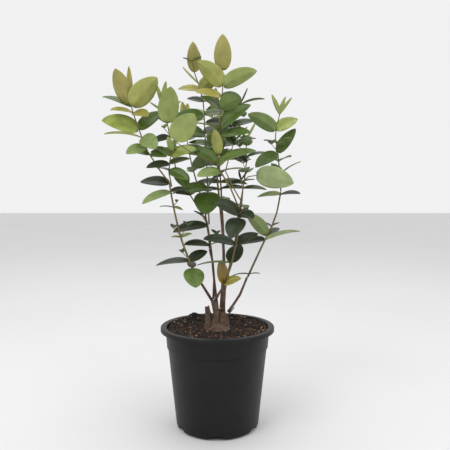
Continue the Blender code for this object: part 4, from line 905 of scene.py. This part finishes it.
def fine_leaf(leaf):
    """Points and faces of a leaf with a grooved midrib and side veins, and each face's material by number."""
    fold = math.radians(leaf.fold)
    rows = [ROWS_START + ROWS_REACH * i / LEAF_ROWS for i in range(LEAF_ROWS + 1)]
    across = [k / LEAF_COLUMNS for k in range(-LEAF_COLUMNS, LEAF_COLUMNS + 1)]
    n = len(across)
    upper = []
    lower = []
    for s in rows:
        middle, side, upward = leaf_frame(leaf, s)
        half = max(leaf.length * leaf.wide / 2 * leaf_shape(s), NECK * (1 - s) + POINT)
        for u in across:
            out = abs(u)
            at_midrib = max(0.0, 1 - MIDRIB_FADE * out)
            rise = math.sin(fold) * out**FOLD_CURVE * half
            ripple = math.cos(2 * math.pi * VEINS * (s - VEIN_SLANT * out))
            vein = VEIN_DEPTH * ripple * (1 - out) * min(1, VEIN_START * out)
            groove = -MIDRIB_GROOVE * at_midrib
            curl = -CURL * half * out**3
            lift = upward * (rise + vein + groove + curl)
            spot = middle + (side * math.cos(fold) * half * u + lift) * MM
            upper.append(spot + upward * SKIN * MM)
            lower.append(spot - upward * (SKIN + MIDRIB_SWELL * at_midrib) * MM)
    base = len(upper)
    faces = []
    sides = []
    for i in range(LEAF_ROWS):
        for k in range(n - 1):
            a, b, c, d = i * n + k, i * n + k + 1, (i + 1) * n + k + 1, (i + 1) * n + k
            faces += [(a, b, c, d), (base + d, base + c, base + b, base + a)]
            sides += [0, 1]
    rim = [(0, k, 0, k + 1) for k in range(n - 1)]
    rim += [(LEAF_ROWS, k + 1, LEAF_ROWS, k) for k in range(n - 1)]
    rim += [(i + 1, 0, i, 0) for i in range(LEAF_ROWS)]
    rim += [(i, n - 1, i + 1, n - 1) for i in range(LEAF_ROWS)]
    for r0, c0, r1, c1 in rim:
        a, b = r0 * n + c0, r1 * n + c1
        faces.append((b, a, base + a, base + b))
        sides.append(0)
    return upper + lower, faces, sides


def gathered(shapes):
    """Points and faces of several shapes as one."""
    points = []
    faces = []
    for shape in shapes:
        start = len(points)
        points += shape[0]
        faces += [tuple(start + i for i in f) for f in shape[1]]
    return points, faces


def shape_of(thing):
    """Points and faces of an object's mesh."""
    return [v.co.copy() for v in thing.data.vertices], [tuple(f.vertices) for f in thing.data.polygons]


def grow():
    """The paths of the stems and the twigs on them, with each leaf seated by the same rule as the solids."""
    crown = shape_of(frame["nodes"]["root_crown"])
    crowd = Crowd()
    crowd.add("root_crown", *crown)
    paths = {}
    for name, limb in LIMBS.items():
        neighbours = [crown] + [p.tube(STEM_SIDES) for p in paths.values()]
        paths[name] = seated(limb.route, limb.thick, neighbours)
        crowd.add(name, *paths[name].tube(STEM_SIDES))
    for name, sprig in SPRIGS.items():
        parent = SPRIGS.get(sprig.parent)
        if parent and parent.piece == sprig.piece:
            paths[name] = Path(sprig.route, sprig.thick)
        else:
            beside = [paths[sprig.parent].tube(STEM_SIDES)]
            beside += [paths[n].tube(SPRIG_SIDES) for n, s in SPRIGS.items()
                       if n in paths and s.parent == sprig.parent and s.piece != sprig.piece]
            paths[name] = seated(sprig.route, sprig.thick, beside)
        crowd.add(sprig.piece, *paths[name].tube(SPRIG_SIDES))
    for name, sprig in SPRIGS.items():
        for height, *leaves in sprig.pairs:
            node, ahead, radius = paths[name].at_height(height)
            for leaf in leaves:
                if leaf is not None:
                    place(leaf, node, ahead, radius, sprig, crowd)
    dice = random.Random(SEED)
    twigs = {name: axil_twigs(sprig, paths[name], crowd, dice) for name, sprig in SPRIGS.items()}
    return paths, twigs


def finish_piece(piece, slot, *nodes):
    """Smooth a piece, attach it to the root body, and hide the parts that it stands for. Its slot is not
    used.
    """
    piece.data.shade_smooth()
    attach(piece, "root")
    if nodes:
        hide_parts(*nodes)


def dress_leaves():
    """One piece for each leaf colour, of all the leaves that take it. The first stands for every mass."""
    masses = sorted(n for n in frame["nodes"] if n.startswith("foliage"))
    by_tint = {}
    for sprig in SPRIGS.values():
        for leaf in sprig.placed:
            by_tint.setdefault(leaf.tint, []).append(leaf)
    for tint, leaves in sorted(by_tint.items()):
        top, under = map(linear, LEAF_COLOURS[tint])
        materials = (
            procedural("leaf_top_" + tint, shades(top, TOP_SHADES),
                       scale=90.0, roughness=0.42, relief=(0.25, 900.0)),
            procedural("leaf_under_" + tint, shades(under, UNDER_SHADES),
                       scale=70.0, roughness=0.6, relief=(0.2, 900.0)),
        )
        shapes = [fine_leaf(leaf) for leaf in leaves]
        piece = piece_from("leaves_" + tint, *gathered(shapes), *materials)
        sides = [side for shape in shapes for side in shape[2]]
        for polygon, side in zip(piece.data.polygons, sides):
            polygon.material_index = side
        finish_piece(piece, SLOT_OF[tint], *masses)
        masses = ()


def dress_stems(paths, twigs):
    """Barked lower stems, and greener stems and twigs in the foliage."""
    bark = procedural("bark", map(linear, BARK), scale=160.0, roughness=0.75, relief=(0.8, 700.0))
    green_bark = procedural("green_bark", map(linear, GREEN_BARK),
                            scale=60.0, roughness=0.6, relief=(0.3, 900.0))
    low = [paths[name].tube(STEM_FINE_SIDES) for name in LIMBS]
    finish_piece(piece_from("stems_low", *gathered(low), bark), "bark", *LIMBS)
    high = [paths[name].tube(STEM_FINE_SIDES) for name in SPRIGS]
    finish_piece(piece_from("stems_high", *gathered(high), green_bark), "bark")
    small = [twig for group in twigs.values() for twig in group]
    finish_piece(piece_from("twigs", *gathered(small), green_bark), "bark")
    give(frame["nodes"]["root_crown"], bark)


def chip(at, size, turn):
    """A splinter of bark: a tapered box, turned about its middle."""
    long, wide, thick = size
    corners = [
        Vector((x * long, y * wide * (1 - CHIP_TAPER * x), z * thick))
        for x, y, z in product((-1, 1), repeat=3)
    ]
    points = [at + turn.to_matrix() @ c * MM for c in corners]
    return points, [(0, 1, 3, 2), (4, 6, 7, 5), (0, 4, 5, 1), (2, 3, 7, 6), (0, 2, 6, 4), (1, 5, 7, 3)]


def dress_soil():
    """Bark compost: a rough bed with crumbs and chips lying on it."""
    bed = frame["nodes"]["soil"]
    give(bed, procedural("earth", map(linear, EARTH), scale=220.0, roughness=0.95, relief=(1.0, 500.0)))
    dice = random.Random(SEED + 1)
    tree = BVHTree.FromPolygons(*shape_of(bed))
    heaps = {name: [] for name in CRUMBS}
    for _ in range(CHIPS):
        away = math.sqrt(dice.random()) * CHIP_DISC
        angle = dice.uniform(0, 2 * math.pi)
        over = Vector((away * math.cos(angle) * MM, away * math.sin(angle) * MM, DROP_FROM))
        spot = tree.ray_cast(over, Vector((0, 0, -1)))[0]
        size = [dice.uniform(*span) for span in CHIP_HALVES]
        turn = Euler([dice.uniform(*span) for span in CHIP_TURNS])
        draw = dice.random()
        name = next(name for name, (_, _, below) in CRUMBS.items() if draw < below)
        if spot is not None:
            heaps[name].append(chip(spot + Vector((0, 0, CHIP_RISE * MM)), size, turn))
    for name, (one, other, _) in CRUMBS.items():
        crumb = procedural(name, map(linear, (one, other)), scale=300.0, roughness=0.9, relief=(0.5, 800.0))
        piece = piece_from(name, *gathered(heaps[name]), crumb)
        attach(piece, "root")


def dress_pot():
    """The moulded pot, round and satin."""
    pot = make_pot()
    plastic = procedural("plastic", map(linear, PLASTIC),
                         scale=40.0, roughness=0.45, relief=(0.06, 300.0), specular=0.28)
    give(pot, plastic)
    for polygon in pot.data.polygons:
        polygon.material_index = 0
    pot.data.shade_smooth()
    pot.data.set_sharp_from_angle(angle=math.radians(SHARP_TURN))
    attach(pot, "root")
    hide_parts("pot")


def lay_floor():
    """A pale floor that runs far back."""
    around = ((-1, -1), (1, -1), (1, 1), (-1, 1))
    corners = [(x * FLOOR_HALF, y * FLOOR_HALF, -FLOOR_DEPTH) for x, y in around]
    pale = procedural("pale_floor", FLOOR_COLOURS, scale=2.0, roughness=0.9)
    floor = piece_from("floor", corners, [(0, 1, 2, 3)], pale)


def light_stage():
    """Soft light all round, with a key light, a fill light and one from above."""
    world = bpy.data.worlds.new("studio")
    world.use_nodes = True
    backdrop = world.node_tree.nodes["Background"]
    backdrop.inputs["Color"].default_value = WORLD_COLOUR
    backdrop.inputs["Strength"].default_value = WORLD_STRENGTH
    bpy.context.scene.world = world
    bpy.context.scene.view_settings.view_transform = "Standard"
    for name, (spot, size, power) in LIGHTS.items():
        light = bpy.data.lights.new(name, "AREA")
        light.size = size
        light.energy = power
        lamp = bpy.data.objects.new(name, light)
        lamp.location = spot
        lamp.rotation_euler = (Vector(LIGHT_AIM) - Vector(spot)).to_track_quat("-Z", "Y").to_euler()
        bpy.context.scene.collection.objects.link(lamp)


def aim_camera():
    """The camera at the photograph's viewing angle."""
    lens = bpy.data.cameras.new("camera")
    lens.sensor_width = SENSOR_WIDE
    lens.lens = CAMERA_LENS
    camera = bpy.data.objects.new("camera", lens)
    camera.location = Vector(CAMERA_PLACE) * MM
    camera.rotation_euler = (math.radians(90 - CAMERA_DOWN), 0, 0)
    bpy.context.scene.collection.objects.link(camera)
    bpy.context.scene.camera = camera


lay_floor()
light_stage()
aim_camera()
dress_pot()
dress_soil()
PATHS, TWIGS = grow()
dress_stems(PATHS, TWIGS)
dress_leaves()
